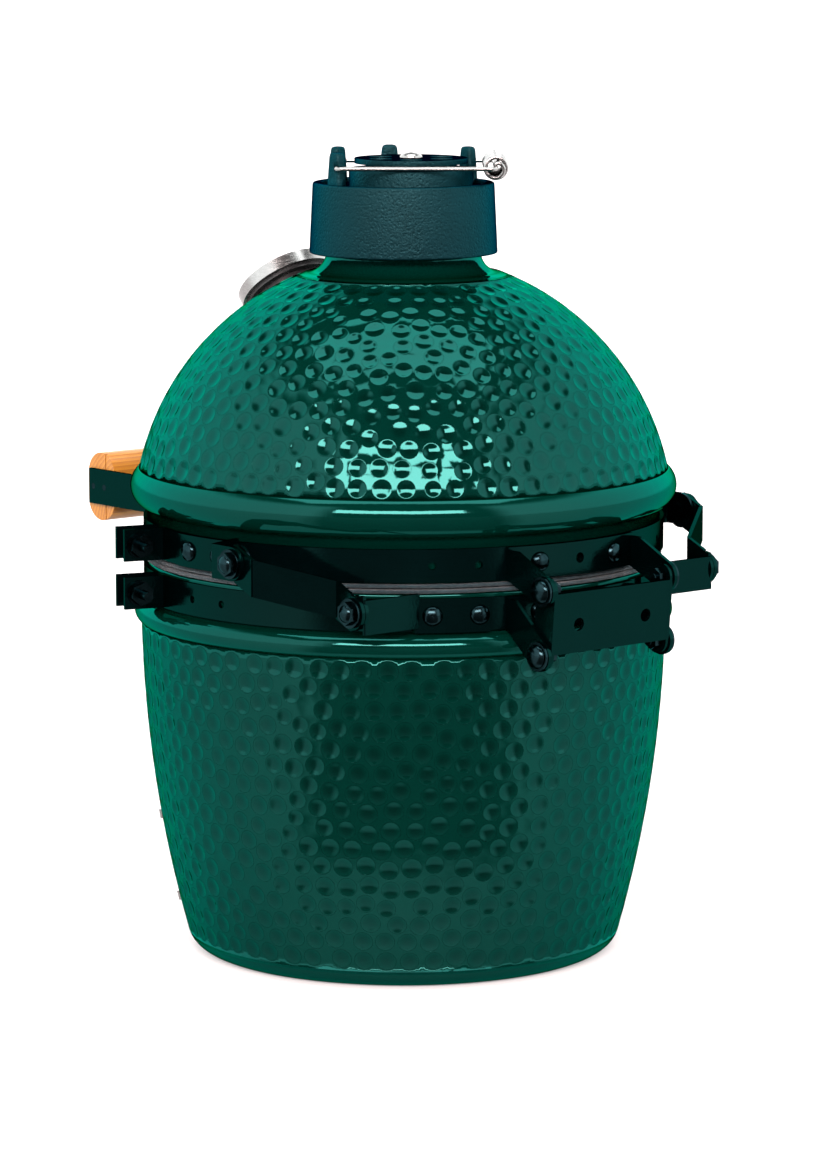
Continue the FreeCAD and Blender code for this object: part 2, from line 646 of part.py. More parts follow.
def side_arm(side, label):
    """The link from the wing pivot to the dome's side pivot, its front eye oversize."""
    front_x = SIZES["side_flange_x"] - SIZES["arm_gap"] - SIZES["sheet"] / 2
    rear_x = SIZES["wing_flange_x"] + SIZES["sheet"] + SIZES["arm_gap"]
    front = (SIZES["side_pin_y"], SIZES["side_pin_z"])
    rear = (SIZES["wing_pin_y"], SIZES["wing_pin_z"])
    slope = (rear[1] - front[1]) / (rear[0] - front[0])
    bends = (SIZES["arm_bend_y"], SIZES["arm_rear_bend_y"])
    points = [(front_x, front[0]), (front_x, bends[0]), (rear_x, bends[1]), (rear_x, rear[0])]
    pieces = []
    for a, b in zip(points[:-1], points[1:]):
        pieces.append(sloped_leg(side, a, b, front, slope))
    half = size("strap_height") / 2
    for x, (y, z) in ((front_x, front), (rear_x, rear)):
        start = (side * x - SIZES["sheet"] / 2, y, z)
        pieces.append(cylinder(half, size("sheet"), start, (1, 0, 0)))
    eye = cylinder(size("arm_eye_radius"), 8, (side * front_x - 4, front[0], front[1]), (1, 0, 0))
    pivot = cylinder(size("pin_hole_radius"), 8, (side * rear_x - 4, rear[0], rear[1]), (1, 0, 0))
    return node(label, cut(fuse(*pieces), eye, pivot))


def sloped_leg(side, a, b, front, slope):
    """One straight leg of the arm; its height follows the line between the arm's pivots."""
    half = SIZES["strap_height"] / 2 * math.hypot(1, slope)
    thick = SIZES["sheet"] / 2
    dx, dy = b[0] - a[0], b[1] - a[1]
    length = math.hypot(dx, dy)
    nx, ny = -dy / length * thick, dx / length * thick
    corners = []
    for x, y in (a, b):
        z = front[1] + slope * (y - front[0])
        for s in (1, -1):
            face_x = side * (x + s * nx)
            face_y = y + s * ny
            corners.append([(face_x, face_y, z - half), (face_x, face_y, z + half)])
    a1, a2, b1, b2 = corners
    loops = [[a1[0], a2[0], b2[0], b1[0]], [a1[1], a2[1], b2[1], b1[1]], [a1[0], b1[0], b1[1], a1[1]],
             [a2[0], b2[0], b2[1], a2[1]], [a1[0], a2[0], a2[1], a1[1]], [b1[0], b2[0], b2[1], b1[1]]]
    faces = []
    for loop in loops:
        points = [FreeCAD.Vector(*p) for p in loop]
        faces.append(Part.Face(Part.makePolygon(points + points[:1])))
    thing = doc.addObject("Part::Feature", "Leg")
    solid = Part.Solid(Part.Shell(faces))
    if solid.Volume < 0:
        solid.reverse()
    thing.Shape = solid
    return thing


def side_pin(label, side, inner_x, outer_x, y, z, inner_radius):
    """A short pivot: washer and flat head inside, washer and acorn outside."""
    start = (side * inner_x, y, z)
    way = (side, 0, 0)
    back = (-side, 0, 0)
    pieces = [cylinder(size("pin_radius"), outer_x - inner_x, start, way)]
    pieces.append(cylinder(inner_radius, size("washer_height"), start, back))
    pieces.append(hexagon(size("nut_radius"), 3.2, (side * (inner_x - SIZES["washer_height"]), y, z), back))
    pieces.append(cylinder(size("washer_radius"), size("washer_height"), (side * outer_x, y, z), way))
    seat = (side * (outer_x + SIZES["washer_height"]), y, z)
    pieces.append(hexagon(size("acorn_radius"), 2.6, seat, way))
    pieces.append(dome_head(size("acorn_radius") - 0.9, size("acorn_height"), seat, way))
    return node(label, fuse(*pieces))


# ---------------------------------------------------------------- handle

def handle_bracket(side, label):
    """A strip that stands square to X, with a flange bolted to the upper band."""
    x = SIZES["handle_strip_x"] + SIZES["sheet"] / 2
    z = SIZES["handle_z"]
    front = SIZES["handle_strip_front_y"]
    band_y = SIZES["handle_strip_band_y"]
    depth = band_y - front
    strip = box(size("sheet"), depth, size("handle_strip_height"), (side * x, (band_y + front) / 2, z))
    low_x, high_x = sorted((side * (x + SIZES["sheet"] / 2), side * (x - SIZES["handle_flange_width"])))
    flange = strap_arc(size("upper_band_z"), size("band_height"), low_x, high_x, rear=False)
    clearance = tube(size("band_outer_r"), 100, 40, 205)
    bulge_room = cylinder(148.0, 20, (0, 0, SIZES["dome_collar_top_z"] - 1.5))
    angle = HANDLE_ANGLES[0] * side
    tools = [clearance, bulge_room, hole(angle, UPPER_BOLT_Z)]
    for dy in (-5, 5):
        screw = (side * x - 6, SIZES["handle_centre_y"] + dy, z)
        tools.append(cylinder(1.7, 12, screw, (1, 0, 0)))
    return node(label, cut(fuse(strip, flange), *tools))


def handle_bar():
    """The wooden bar: a rounded section along X with a shallow saw kerf in each end."""
    depth = size("handle_depth")
    height = size("handle_height")
    straight = height - depth
    y = SIZES["handle_centre_y"]
    z = SIZES["handle_z"]
    length = size("handle_strip_x") * 2 - 0.1
    start = -number(length) / 2
    core = box(length, depth, straight, (0, y, z))
    ends = []
    for side in (1, -1):
        at = (start, y, z + side * number(straight) / 2)
        ends.append(cylinder(depth / 2, length, at, (1, 0, 0)))
    kerfs = []
    for side in (1, -1):
        kerfs.append(box(3, 0.8, height + 2, (side * number(length) / 2, y + 4, z)))
    screws = []
    for side in (1, -1):
        for dy in (-5, 5):
            screws.append(cylinder(1.7, 22, (side * number(length) / 2, y + dy, z), (-side, 0, 0)))
    return node("handle_bar", cut(fuse(core, *ends), *kerfs, *screws))


def handle_screws():
    """Headless screws, flush with the outer faces of the strips."""
    pieces = []
    face = SIZES["handle_strip_x"] + SIZES["sheet"]
    for side in (1, -1):
        for dy in (-5, 5):
            point = (side * face, SIZES["handle_centre_y"] + dy, SIZES["handle_z"])
            pieces.append(cylinder(1.6, 20, point, (-side, 0, 0)))
    return node("handle_screws", group(pieces))


# ---------------------------------------------------------------- fire parts

def fire_grate():
    z = size("firebox_ledge_z") + 0.3
    disc = cylinder(size("fire_grate_r"), size("fire_grate_height"), (0, 0, z))
    slots = []
    for k in range(-4, 5):
        y = 12.0 * k
        reach = math.sqrt((SIZES["fire_grate_r"] - 8) ** 2 - y * y)
        slots.append(box(2 * reach, 6, 20, (0, y, number(z) + 4)))
    rib = box(7, 2 * SIZES["fire_grate_r"] - 6, size("fire_grate_height"), (0, 0, number(z) + 3.5))
    return node("fire_grate", fuse(cut(disc, *slots), rib))


def cooking_grid():
    """A wire ring with straight bars let into it and one brace across below, on the firebox rim."""
    z = SIZES["grid_z"]
    ring = doc.addObject("Part::Torus", "GridRing")
    bind(ring, "Radius1", size("grid_r") - size("grid_wire"))
    bind(ring, "Radius2", size("grid_wire"))
    node("grid_ring", place(ring, (0, 0, z)))
    bars = []
    for k in range(-7, 8):
        x = k * SIZES["grid_pitch"]
        reach = math.sqrt((SIZES["grid_r"] - SIZES["grid_wire"]) ** 2 - x * x)
        bars.append(cut(cylinder(size("grid_bar"), 2 * reach, (x, -reach, z), (0, 1, 0)), ring))
    node("grid_bars", group(bars))
    reach = SIZES["firebox_outer_r"] - SIZES["firebox_wall"] - 3.0
    brace_z = z - 2 * SIZES["grid_bar"] - 0.02
    node("grid_brace", cylinder(size("grid_bar"), 2 * reach, (-reach, 0, brace_z), (1, 0, 0)))


# ---------------------------------------------------------------- vent cap

def cap_point(u, d, z):
    """A point by cap axes: u across the bail, d along its pivots."""
    a = math.radians(SIZES["cap_turn"])
    return (u * math.cos(a) + d * math.sin(a), u * math.sin(a) - d * math.cos(a), z)


def cap_way(u, d):
    return cap_point(u, d, 0)


def cap_hood():
    inner = size("hood_inner_r")
    body = turned("HoodBody", [
        (inner, size("hood_low_z")),
        (size("hood_low_r"), size("hood_low_z")),
        (size("hood_top_r"), size("hood_top_z")),
        (inner, size("hood_top_z")),
        (inner, size("hood_deck_top_z")),
        (size("hood_port_r"), size("hood_deck_top_z")),
        (size("hood_port_r"), size("hood_deck_z")),
        (inner, size("hood_deck_z")),
    ])
    lugs = [lug(u, d) for u, d in LUGS]
    drill = cylinder(size("wire_radius") + 0.08, 90,
                     cap_point(SIZES["bail_pivot_u"], -45, SIZES["bail_z"]), cap_way(0, 1))
    return node("cap_hood", cut(fuse(body, *lugs), drill))


def lug_places():
    """Two bail lugs in line with the pivots and two plain lugs."""
    r = SIZES["lug_centre_r"]
    u = SIZES["bail_pivot_u"]
    d = math.sqrt(r * r - u * u)
    return [(u, d), (u, -d), (-7.5, -math.sqrt(r * r - 7.5 ** 2)), (34.5, -math.sqrt(r * r - 34.5 ** 2))]


LUGS = lug_places()


def lug(u, d):
    """A cast post on the hood's rim, tapered to a rounded top."""
    x, y, _ = cap_point(u, d, 0)
    turn = math.degrees(math.atan2(y, x))
    low = SIZES["hood_top_z"] - 1.8
    height = size("lug_height") + 1.8
    block = box(size("lug_depth"), size("lug_width"), height, (x, y, low + number(height) / 2), turn=turn)
    ring = tube(size("hood_top_r") - 0.1, size("hood_inner_r") - 5.0, 60, low)
    return common(block, ring)


def vent_lid():
    """The inner cover: a plate in the hood with a raised drum and a ring of air ports."""
    low = size("lid_low_z")
    boss = size("lid_boss_r")
    centre = cap_point(SIZES["lid_shift"], 0, 0)
    plate_disc = cylinder(size("hood_inner_r") - 0.15, 4.5, (0, 0, low))
    drum = cylinder(boss, size("lid_top_z") - low, (centre[0], centre[1], low))
    hollow = cylinder(boss - 4.5, size("lid_top_z") - low - 3.0, (centre[0], centre[1], number(low) - 0.1))
    ports = [cylinder(size("lid_port_r"), 20, lid_port(k, 405)) for k in range(6)]
    axle = cylinder(2.6, 30, (centre[0], centre[1], 400))
    rivet_x, rivet_y, _ = cap_point(*RIVET, 0)
    rivet_hole = cylinder(2.1, 10, (rivet_x, rivet_y, 412))
    return node("vent_lid", cut(fuse(plate_disc, drum), hollow, axle, rivet_hole, *ports))


RIVET = (-18.5, 19.0)


def lid_port(k, z):
    a = math.radians(60 * k + 30)
    ring = SIZES["lid_port_ring"]
    return cap_point(SIZES["lid_shift"] + ring * math.cos(a), ring * math.sin(a), z)


def damper_wheel():
    """The rotating cover with ports that match the lid's."""
    centre = cap_point(SIZES["lid_shift"], 0, 0)
    hub = cylinder(size("wheel_hub_r"), size("wheel_step_z") - size("wheel_low_z") + 0.5,
                   (centre[0], centre[1], size("wheel_low_z")))
    disc = cylinder(size("wheel_r"), size("wheel_top_z") - size("wheel_step_z"),
                    (centre[0], centre[1], size("wheel_step_z")))
    ports = [cylinder(size("lid_port_r"), 20, lid_port(k, 412)) for k in range(6)]
    axle = cylinder(2.6, 30, (centre[0], centre[1], 405))
    return node("damper_wheel", cut(fuse(hub, disc), axle, *ports))


def damper_screw():
    centre = cap_point(SIZES["lid_shift"], 0, 0)
    top = SIZES["wheel_top_z"]
    low = SIZES["lid_top_z"] - 3.0
    shank = cylinder(2.4, top - low + 4.5, (centre[0], centre[1], low - 4.0))
    head = dome_head(6.0, 3.2, (centre[0], centre[1], top + 0.15), (0, 0, 1))
    nut = hexagon(5.0, 3.6, (centre[0], centre[1], low - 3.8), (0, 0, 1))
    return node("damper_screw", fuse(shank, head, nut))


def lid_rivet():
    x, y, _ = cap_point(*RIVET, 0)
    top = SIZES["lid_top_z"]
    shank = cylinder(2.0, 3.2, (x, y, top - 3.2))
    head = dome_head(3.3, 1.9, (x, y, top), (0, 0, 1))
    return node("lid_rivet", fuse(shank, head))


def bail_wire():
    """One wire: a pivot end, a leg, the cross bar, the other leg and the other pivot end."""
    u0, u1 = SIZES["bail_pivot_u"], SIZES["bail_grip_u"]
    d = SIZES["bail_leg_d"]
    z = SIZES["bail_z"]
    tip = LUGS[0][1] - 4.5
    bend = 3.0
    runs = [(u0, tip), (u0, d), (u1, d), (u1, -d), (u0, -d), (u0, -tip)]
    points = [FreeCAD.Vector(*cap_point(u, w, z)) for u, w in runs]
    edges = []
    here = points[0]
    for before, corner, after in zip(points[:-2], points[1:-1], points[2:]):
        into = (before - corner).normalize()
        out = (after - corner).normalize()
        start = corner + into * bend
        finish = corner + out * bend
        centre = corner + into * bend + out * bend
        middle = centre + (corner - centre).normalize() * bend
        edges.append(Part.LineSegment(here, start).toShape())
        edges.append(Part.Arc(start, middle, finish).toShape())
        here = finish
    edges.append(Part.LineSegment(here, points[-1]).toShape())
    path = Part.Wire(edges)
    way = FreeCAD.Vector(*cap_way(0, 1))
    section = Part.Wire([Part.makeCircle(SIZES["wire_radius"], points[0], way)])
    thing = doc.addObject("Part::Feature", "BailWire")
    thing.Shape = path.makePipeShell([section], True, False)
    return node("bail_wire", thing)


def bail_grip():
    """The wound grip on the bail's cross bar, as its outer sleeve."""
    half = SIZES["grip_half_length"]
    start = cap_point(SIZES["bail_grip_u"], -half, SIZES["bail_z"])
    sleeve = cylinder(size("grip_radius"), size("grip_half_length") * 2, start, cap_way(0, 1))
    bore = cylinder(size("wire_radius") + 0.1, 80, cap_point(SIZES["bail_grip_u"], -40, SIZES["bail_z"]),
                    cap_way(0, 1))
    return node("bail_grip", cut(sleeve, bore))


# ---------------------------------------------------------------- thermometer

def thermometer_way():
    a = math.radians(SIZES["thermo_polar"])
    return (0, -math.sin(a), math.cos(a))


def thermometer_point(height):
    """A point on the thermometer's axis at a height above the dome's surface."""
    way = thermometer_way()
    far = SIZES["dome_sphere"] + height
    return (0, far * way[1], SIZES["gasket_split_z"] + 14.9 + far * way[2])


def thermometer_bore(radius, length):
    return cylinder(radius, length, thermometer_point(-length + 10), thermometer_way())


def thermometer():
    way = thermometer_way()
    stand = SIZES["thermo_stand"]
    top = stand + SIZES["thermo_depth"] - 2.0
    case_r = size("thermo_case_r")
    stem_hole = size("thermo_stem_r") + 0.05
    case = fuse(cylinder(case_r, 6.0, thermometer_point(top - 6.0), way),
                cylinder(case_r - 4.0, 4.5, thermometer_point(stand), way),
                cylinder(12.0, 3.0, thermometer_point(stand - 3.0), way))
    hollow = cylinder(case_r - 5.5, 12.0, thermometer_point(stand + 1.5), way)
    seat = cylinder(case_r - 2.0, 12.0, thermometer_point(stand + 5.5), way)
    stem_way = cylinder(stem_hole, 40, thermometer_point(stand - 20), way)
    node("thermometer_case", cut(case, hollow, seat, stem_way))
    stem = cylinder(size("thermo_stem_r"), size("thermo_stem_length"),
                    thermometer_point(stand + 4.0 - SIZES["thermo_stem_length"]), way)
    node("thermometer_stem", stem)
    dial = cut(cylinder(case_r - 2.2, 0.8, thermometer_point(stand + 5.5), way),
               cylinder(1.2, 6, thermometer_point(stand + 2), way))
    node("thermometer_dial", dial)
    bezel_seat = thermometer_point(top - 4.0)
    rim = cut(cylinder(size("thermo_bezel_r"), size("thermo_bezel_height"), bezel_seat, way),
              cylinder(case_r - 3.5, 20, thermometer_point(top - 6.0), way),
              cylinder(case_r + 0.05, 4.1, thermometer_point(top - 4.05), way))
    node("thermometer_bezel", rim)
    glass = cylinder(case_r - 2.3, 1.2, thermometer_point(top - 1.25), way)
    node("thermometer_glass", glass)
    pivot = cylinder(0.9, 2.2, thermometer_point(stand + 5.6), way)
    cap = cylinder(2.4, 0.8, thermometer_point(stand + 7.0), way)
    blade = box(2.0, 18.0, 0.6, thermometer_point(stand + 7.4), direction=way)
    a = math.radians(SIZES["thermo_polar"])
    blade.Placement.Base = blade.Placement.Base + FreeCAD.Vector(0, math.cos(a), math.sin(a)) * 8.0
    node("thermometer_needle", fuse(pivot, cap, blade))
    clip = cut(cylinder(7.5, 2.0, thermometer_point(-17.1), way),
               cylinder(stem_hole, 8, thermometer_point(-21.0), way))
    node("thermometer_clip", clip)


# ---------------------------------------------------------------- draft door

def curved_panel(inner_gap, thickness, low_z, high_z, half_angle, middle=180.0):
    """A sheet that follows the base's swelling side, over an angle about its middle."""
    inner_low = draft_radius(low_z) + inner_gap
    inner_high = draft_radius(high_z) + inner_gap
    swell = size("base_swell")
    ring = turned("Panel", [
        (inner_low, low_z, swell, 1),
        (inner_low + thickness, low_z),
        (inner_high + thickness, high_z, swell, -1),
        (inner_high, high_z),
    ])
    sector = doc.addObject("Part::Cylinder", "Sector")
    bind(sector, "Radius", 200)
    bind(sector, "Height", 120)
    sector.Angle = 2 * half_angle
    place(sector, (0, 0, 0), turn=90 - middle - half_angle)
    return common(ring, sector)


def draft_radius(z):
    """The base's outer radius at a height near the draft opening."""
    low, high = SIZES["base_foot_edge"], SIZES["base_wall_top_r"]
    top = SIZES["base_wall_top_z"]
    chord = math.hypot(high - low, top)
    swell = SIZES["base_swell"]
    rise = math.sqrt(swell ** 2 - (chord / 2) ** 2)
    centre_r = (low + high) / 2 - rise * top / chord
    centre_z = top / 2 + rise * (high - low) / chord
    return centre_r + math.sqrt(swell ** 2 - (z - centre_z) ** 2)


def draft_parts():
    gap = SIZES["draft_frame_gap"]
    thick = SIZES["draft_frame_sheet"]
    low, high = SIZES["draft_frame_low_z"], SIZES["draft_frame_high_z"]
    half = SIZES["draft_frame_half_angle"]
    back = curved_panel(gap, thick, low, high, half)
    window = box(size("draft_width") - 6, 60, 32, (0, -125, (low + high) / 2))
    rails = []
    for rail_low, lip_low in ((low, low), (high - 2.5, high - 5.0)):
        rails.append(curved_panel(gap + thick - 0.2, 2.6, rail_low, rail_low + 2.5, half))
        rails.append(curved_panel(gap + thick + 2.2, 1.4, lip_low, lip_low + 5.0, half))
    corners = [(side * SIZES["draft_screw_angle"], SIZES[height]) for side in (-1, 1)
               for height in ("draft_screw_low_z", "draft_screw_high_z")]
    node("draft_frame", cut(fuse(cut(back, window), *rails), *[hole_at(a, z) for a, z in corners]))
    screws = []
    for angle, z in corners:
        r = draft_radius(z) + gap + thick
        screw_way = outward(180 + angle)
        shank = cylinder(1.5, 2.2, around(180 + angle, r - 1.4, z), screw_way)
        head = dome_head(2.6, 1.0, around(180 + angle, r + 0.6, z), screw_way)
        screws.append(fuse(shank, head))
    node("draft_screws", group(screws))
    door = curved_panel(gap + thick + 0.35, 1.4, low + 3.0, high - 3.0, SIZES["door_half_angle"])
    node("draft_door", door)
    middle = (low + high) / 2
    knob = cylinder(4.5, 9.5, around(180, draft_radius(middle) + gap + thick, middle), outward(180))
    behind = curved_panel(gap + thick - 2.65, 4.4, low + 3.0, high - 3.0, SIZES["door_half_angle"])
    node("draft_knob", cut(knob, behind))


def hole_at(angle, z):
    r = draft_radius(z)
    return cylinder(1.7, 12, around(180 + angle, r - 4, z), outward(180 + angle))


# ---------------------------------------------------------------- the grill

def build():
    base_shell()
    firebox()
    fire_grate()
    cooking_grid()
    dome_shell()
    split = size("gasket_split_z")
    gasket("base_gasket", size("base_rim_z"), split - size("gasket_gap"))
    gasket("dome_gasket", split + size("gasket_gap"), size("dome_rim_z"))
    lower_bolts = list(HINGE_ANGLES) + both_sides(WING_ANGLES)
    upper_bolts = list(HINGE_ANGLES) + both_sides(SIDE_ANGLES) + list(HANDLE_ANGLES)
    band("lower_band", size("lower_band_z"), both_sides(SIDE_ANGLES), lower_bolts, LOWER_BOLT_Z)
    band("upper_band", size("upper_band_z"), both_sides(WING_ANGLES) + [0], upper_bolts, UPPER_BOLT_Z)
    clamp_bolt("lower_clamp_bolt", LOWER_BOLT_Z)
    clamp_bolt("upper_clamp_bolt", UPPER_BOLT_Z)
    node("lower_band_bolts", group([bolt(a, LOWER_BOLT_Z, STRAP_OUTER) for a in lower_bolts]))
    node("upper_band_bolts", group([bolt(a, UPPER_BOLT_Z, STRAP_OUTER) for a in upper_bolts]))
    lower_pin = (size("lower_pin_y"), size("lower_pin_z"))
    upper_pin = (size("upper_pin_y"), size("upper_pin_z"))
    lower_top = (size("lower_ear_top_y"), size("lower_ear_top_z"))
    upper_top = (size("upper_ear_top_y"), size("upper_ear_top_z"))
    hinge_bracket("lower_hinge_bracket", size("lower_band_z"), lower_top, lower_pin, LOWER_BOLT_Z)
    hinge_bracket("upper_hinge_bracket", size("upper_band_z"), upper_top, upper_pin, UPPER_BOLT_Z)
    hinge_channel()
    ear_pins("lower_hinge_pins", SIZES["lower_pin_y"], SIZES["lower_pin_z"])
    ear_pins("upper_hinge_pins", SIZES["upper_pin_y"], SIZES["upper_pin_z"])
    for side, name in ((1, "right"), (-1, "left")):
        wing_bracket(side, "wing_bracket_" + name)
        side_bracket(side, "side_bracket_" + name)
        side_arm(side, "side_arm_" + name)
        thick = SIZES["sheet"]
        play = 2 * SIZES["arm_gap"]
        wing_x = SIZES["wing_flange_x"]
        side_x = SIZES["side_flange_x"]
        side_pin("wing_pin_" + name, side, wing_x - thick / 2 - 0.05, wing_x + 1.5 * thick + play,
                 SIZES["wing_pin_y"], SIZES["wing_pin_z"], size("wing_washer_radius"))
        side_pin("side_pin_" + name, side, side_x - thick - play, side_x + thick + 0.05,
                 SIZES["side_pin_y"], SIZES["side_pin_z"], size("side_washer_radius"))
        handle_bracket(side, "handle_bracket_" + name)
    handle_bar()
    handle_screws()
    cap_hood()
    vent_lid()
    damper_wheel()
    damper_screw()
    lid_rivet()
    bail_wire()
    bail_grip()
    thermometer()
    draft_parts()


def check_and_write():
    doc.recompute()
    for thing in doc.Objects:
        if "Invalid" in thing.State or "Error" in thing.State:
            raise RuntimeError("%s (%s) failed: %s" % (thing.Name, thing.Label, thing.State))
    os.makedirs("parts", exist_ok=True)
    for label, thing in NODES.items():
        shape = thing.Shape
        if shape.isNull() or not shape.isValid() or not shape.Solids:
            raise RuntimeError("%s has no valid solid" % label)
        shape.exportStep("parts/%s.step" % label)
        bounds = shape.BoundBox
        print("%-22s solids %2d volume %10.0f  x %.1f..%.1f y %.1f..%.1f z %.1f..%.1f" % (
            label, len(shape.Solids), shape.Volume, bounds.XMin, bounds.XMax,
            bounds.YMin, bounds.YMax, bounds.ZMin, bounds.ZMax))


build()
check_and_write()
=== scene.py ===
import json
import math
import random

import bpy
import numpy as np
from mathutils import Matrix, Vector, geometry


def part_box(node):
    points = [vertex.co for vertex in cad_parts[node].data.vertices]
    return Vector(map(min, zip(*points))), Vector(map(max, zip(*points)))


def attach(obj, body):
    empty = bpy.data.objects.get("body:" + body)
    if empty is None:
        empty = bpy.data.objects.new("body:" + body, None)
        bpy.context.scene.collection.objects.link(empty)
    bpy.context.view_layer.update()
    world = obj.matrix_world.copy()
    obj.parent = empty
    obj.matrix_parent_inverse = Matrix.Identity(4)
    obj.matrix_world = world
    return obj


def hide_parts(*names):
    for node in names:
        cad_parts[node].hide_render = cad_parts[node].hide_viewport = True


# Small ceramic charcoal grill. Metres, +Z up, the user at -Y and the hinge at +Y.

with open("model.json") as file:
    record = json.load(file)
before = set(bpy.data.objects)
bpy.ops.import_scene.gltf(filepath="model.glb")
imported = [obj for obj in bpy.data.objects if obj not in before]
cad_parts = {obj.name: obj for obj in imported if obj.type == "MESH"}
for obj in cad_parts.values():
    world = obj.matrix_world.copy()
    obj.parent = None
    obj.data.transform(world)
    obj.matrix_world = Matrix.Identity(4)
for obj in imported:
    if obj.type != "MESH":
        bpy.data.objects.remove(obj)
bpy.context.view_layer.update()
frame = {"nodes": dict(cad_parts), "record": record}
MM = 0.001

# Driving sizes of the shells, in millimetres, as in the CAD source.
BASE_FOOT_EDGE, BASE_FOOT_ROUND, BASE_SWELL = 113.6, 13.0, 675.0
BASE_TOP_R, BASE_TOP_Z = 140.4, 178.0
BEAD_R, BEAD_END_R, BEAD_END_Z = 6.6, 139.9, 190.0
COLLAR_R, BASE_RIM_Z, BASE_RIM_INNER_R = 136.8, 211.0, 122.5
BASE_INNER_SWELL, BASE_FLOOR_R, BASE_FLOOR_Z = 660.0, 98.0, 15.0
DRAFT_WIDTH, DRAFT_LOW_Z, DRAFT_HIGH_Z = 56.0, 26.0, 60.0
DOME_RIM_Z, DOME_COLLAR_TOP_Z, DOME_LIP_R = 216.4, 239.0, 139.2
BULGE_R, BULGE_END_R, BULGE_END_Z = 11.9, 141.0, 260.0
SPHERE_R, SHOULDER_R, SHOULDER_Z = 144.4, 52.0, 363.3
NECK_ROUND, NECK_R, NECK_LOW_Z, NECK_TOP_Z = 11.0, 41.3, 372.0, 391.5
BORE_R, BORE_LOW_Z = 30.0, 355.1
INNER_SPHERE, INNER_LOW_R, INNER_LOW_Z, INNER_STEP_Z = 130.0, 129.5, 240.0, 228.0
INNER_RIM_R = 124.5
THERMO_POLAR = math.radians(39.0)
THERMO_CENTRE_Z = 228.6
CAP_TURN = math.radians(140.0)
CAMERA_AZIMUTH = math.radians(40.0)

DIMPLE_PITCH = 12.4
DIMPLE_DEPTH = 0.95
RING_SEGMENTS = 360


# ---------------------------------------------------------------- node helpers

class Paint:
    """One procedural material, built node by node."""

    def __init__(self, name):
        self.material = bpy.data.materials.new(name)
        self.material.use_nodes = True
        self.tree = self.material.node_tree
        self.shader = self.tree.nodes["Principled BSDF"]
        coordinates = self.tree.nodes.new("ShaderNodeTexCoord")
        self.place = coordinates.outputs["Object"]

    def set(self, **values):
        for name, value in values.items():
            self.shader.inputs[name.replace("_", " ")].default_value = value
        return self

    def node(self, kind, **settings):
        made = self.tree.nodes.new("ShaderNode" + kind)
        for name, value in settings.items():
            setattr(made, name, value)
        return made

    def link(self, source, target):
        self.tree.links.new(source, target)

    def stretched(self, scale):
        """The object's coordinates, scaled by a different factor along each axis."""
        mapping = self.node("Mapping")
        mapping.inputs["Scale"].default_value = scale
        self.link(self.place, mapping.inputs["Vector"])
        return mapping.outputs["Vector"]

    def noise(self, scale, detail=3.0, rough=0.5, where=None, distortion=0.0):
        made = self.node("TexNoise")
        made.inputs["Scale"].default_value = scale
        made.inputs["Detail"].default_value = detail
        made.inputs["Roughness"].default_value = rough
        made.inputs["Distortion"].default_value = distortion
        self.link(where or self.place, made.inputs["Vector"])
        return made.outputs["Fac"]

    def cells(self, scale, where=None, feature="F1"):
        made = self.node("TexVoronoi", feature=feature)
        made.inputs["Scale"].default_value = scale
        self.link(where or self.place, made.inputs["Vector"])
        return made.outputs["Distance"]

    def ramp(self, value, stops):
        made = self.node("ValToRGB")
        band = made.color_ramp
        while len(band.elements) < len(stops):
            band.elements.new(0.5)
        for element, (at, colour) in zip(band.elements, stops):
            element.position = at
            element.color = (*colour, 1.0)
        self.link(value, made.inputs["Fac"])
        return made.outputs["Color"]

    def span(self, value, low, high, to_low, to_high):
        made = self.node("MapRange")
        names = ("From Min", "From Max", "To Min", "To Max")
        for name, number in zip(names, (low, high, to_low, to_high)):
            made.inputs[name].default_value = number
        self.link(value, made.inputs["Value"])
        return made.outputs["Result"]

    def mix(self, factor, first, second):
        """Mix two colours; each is a socket or three numbers."""
        made = self.node("Mix", data_type="RGBA")
        self.link(factor, made.inputs["Factor"])
        for name, colour in (("A", first), ("B", second)):
            socket = [s for s in made.inputs if s.name == name and s.type == "RGBA"][0]
            if isinstance(colour, tuple):
                socket.default_value = (*colour, 1.0)
            else:
                self.link(colour, socket)
        return [s for s in made.outputs if s.type == "RGBA"][0]

    def sum(self, first, second, operation="ADD"):
        made = self.node("Math", operation=operation)
        for socket, value in zip(made.inputs, (first, second)):
            if isinstance(value, float):
                socket.default_value = value
            else:
                self.link(value, socket)
        return made.outputs["Value"]

    def colour(self, socket):
        self.link(socket, self.shader.inputs["Base Color"])
        return self

    def roughness(self, socket):
        self.link(socket, self.shader.inputs["Roughness"])
        return self

    def veil(self, tint):
        """A clear tinted skin that takes more light the flatter the view."""
        return self.set(Coat_Weight=1.0, Coat_IOR=1.0, Coat_Roughness=0.03, Coat_Tint=(*tint, 1.0))

    def bump(self, height, depth, strength=1.0):
        """Relief of a real depth in metres."""
        made = self.node("Bump")
        made.inputs["Strength"].default_value = strength
        made.inputs["Distance"].default_value = depth
        self.link(height, made.inputs["Height"])
        self.link(made.outputs["Normal"], self.shader.inputs["Normal"])
        return self


# ---------------------------------------------------------------- materials

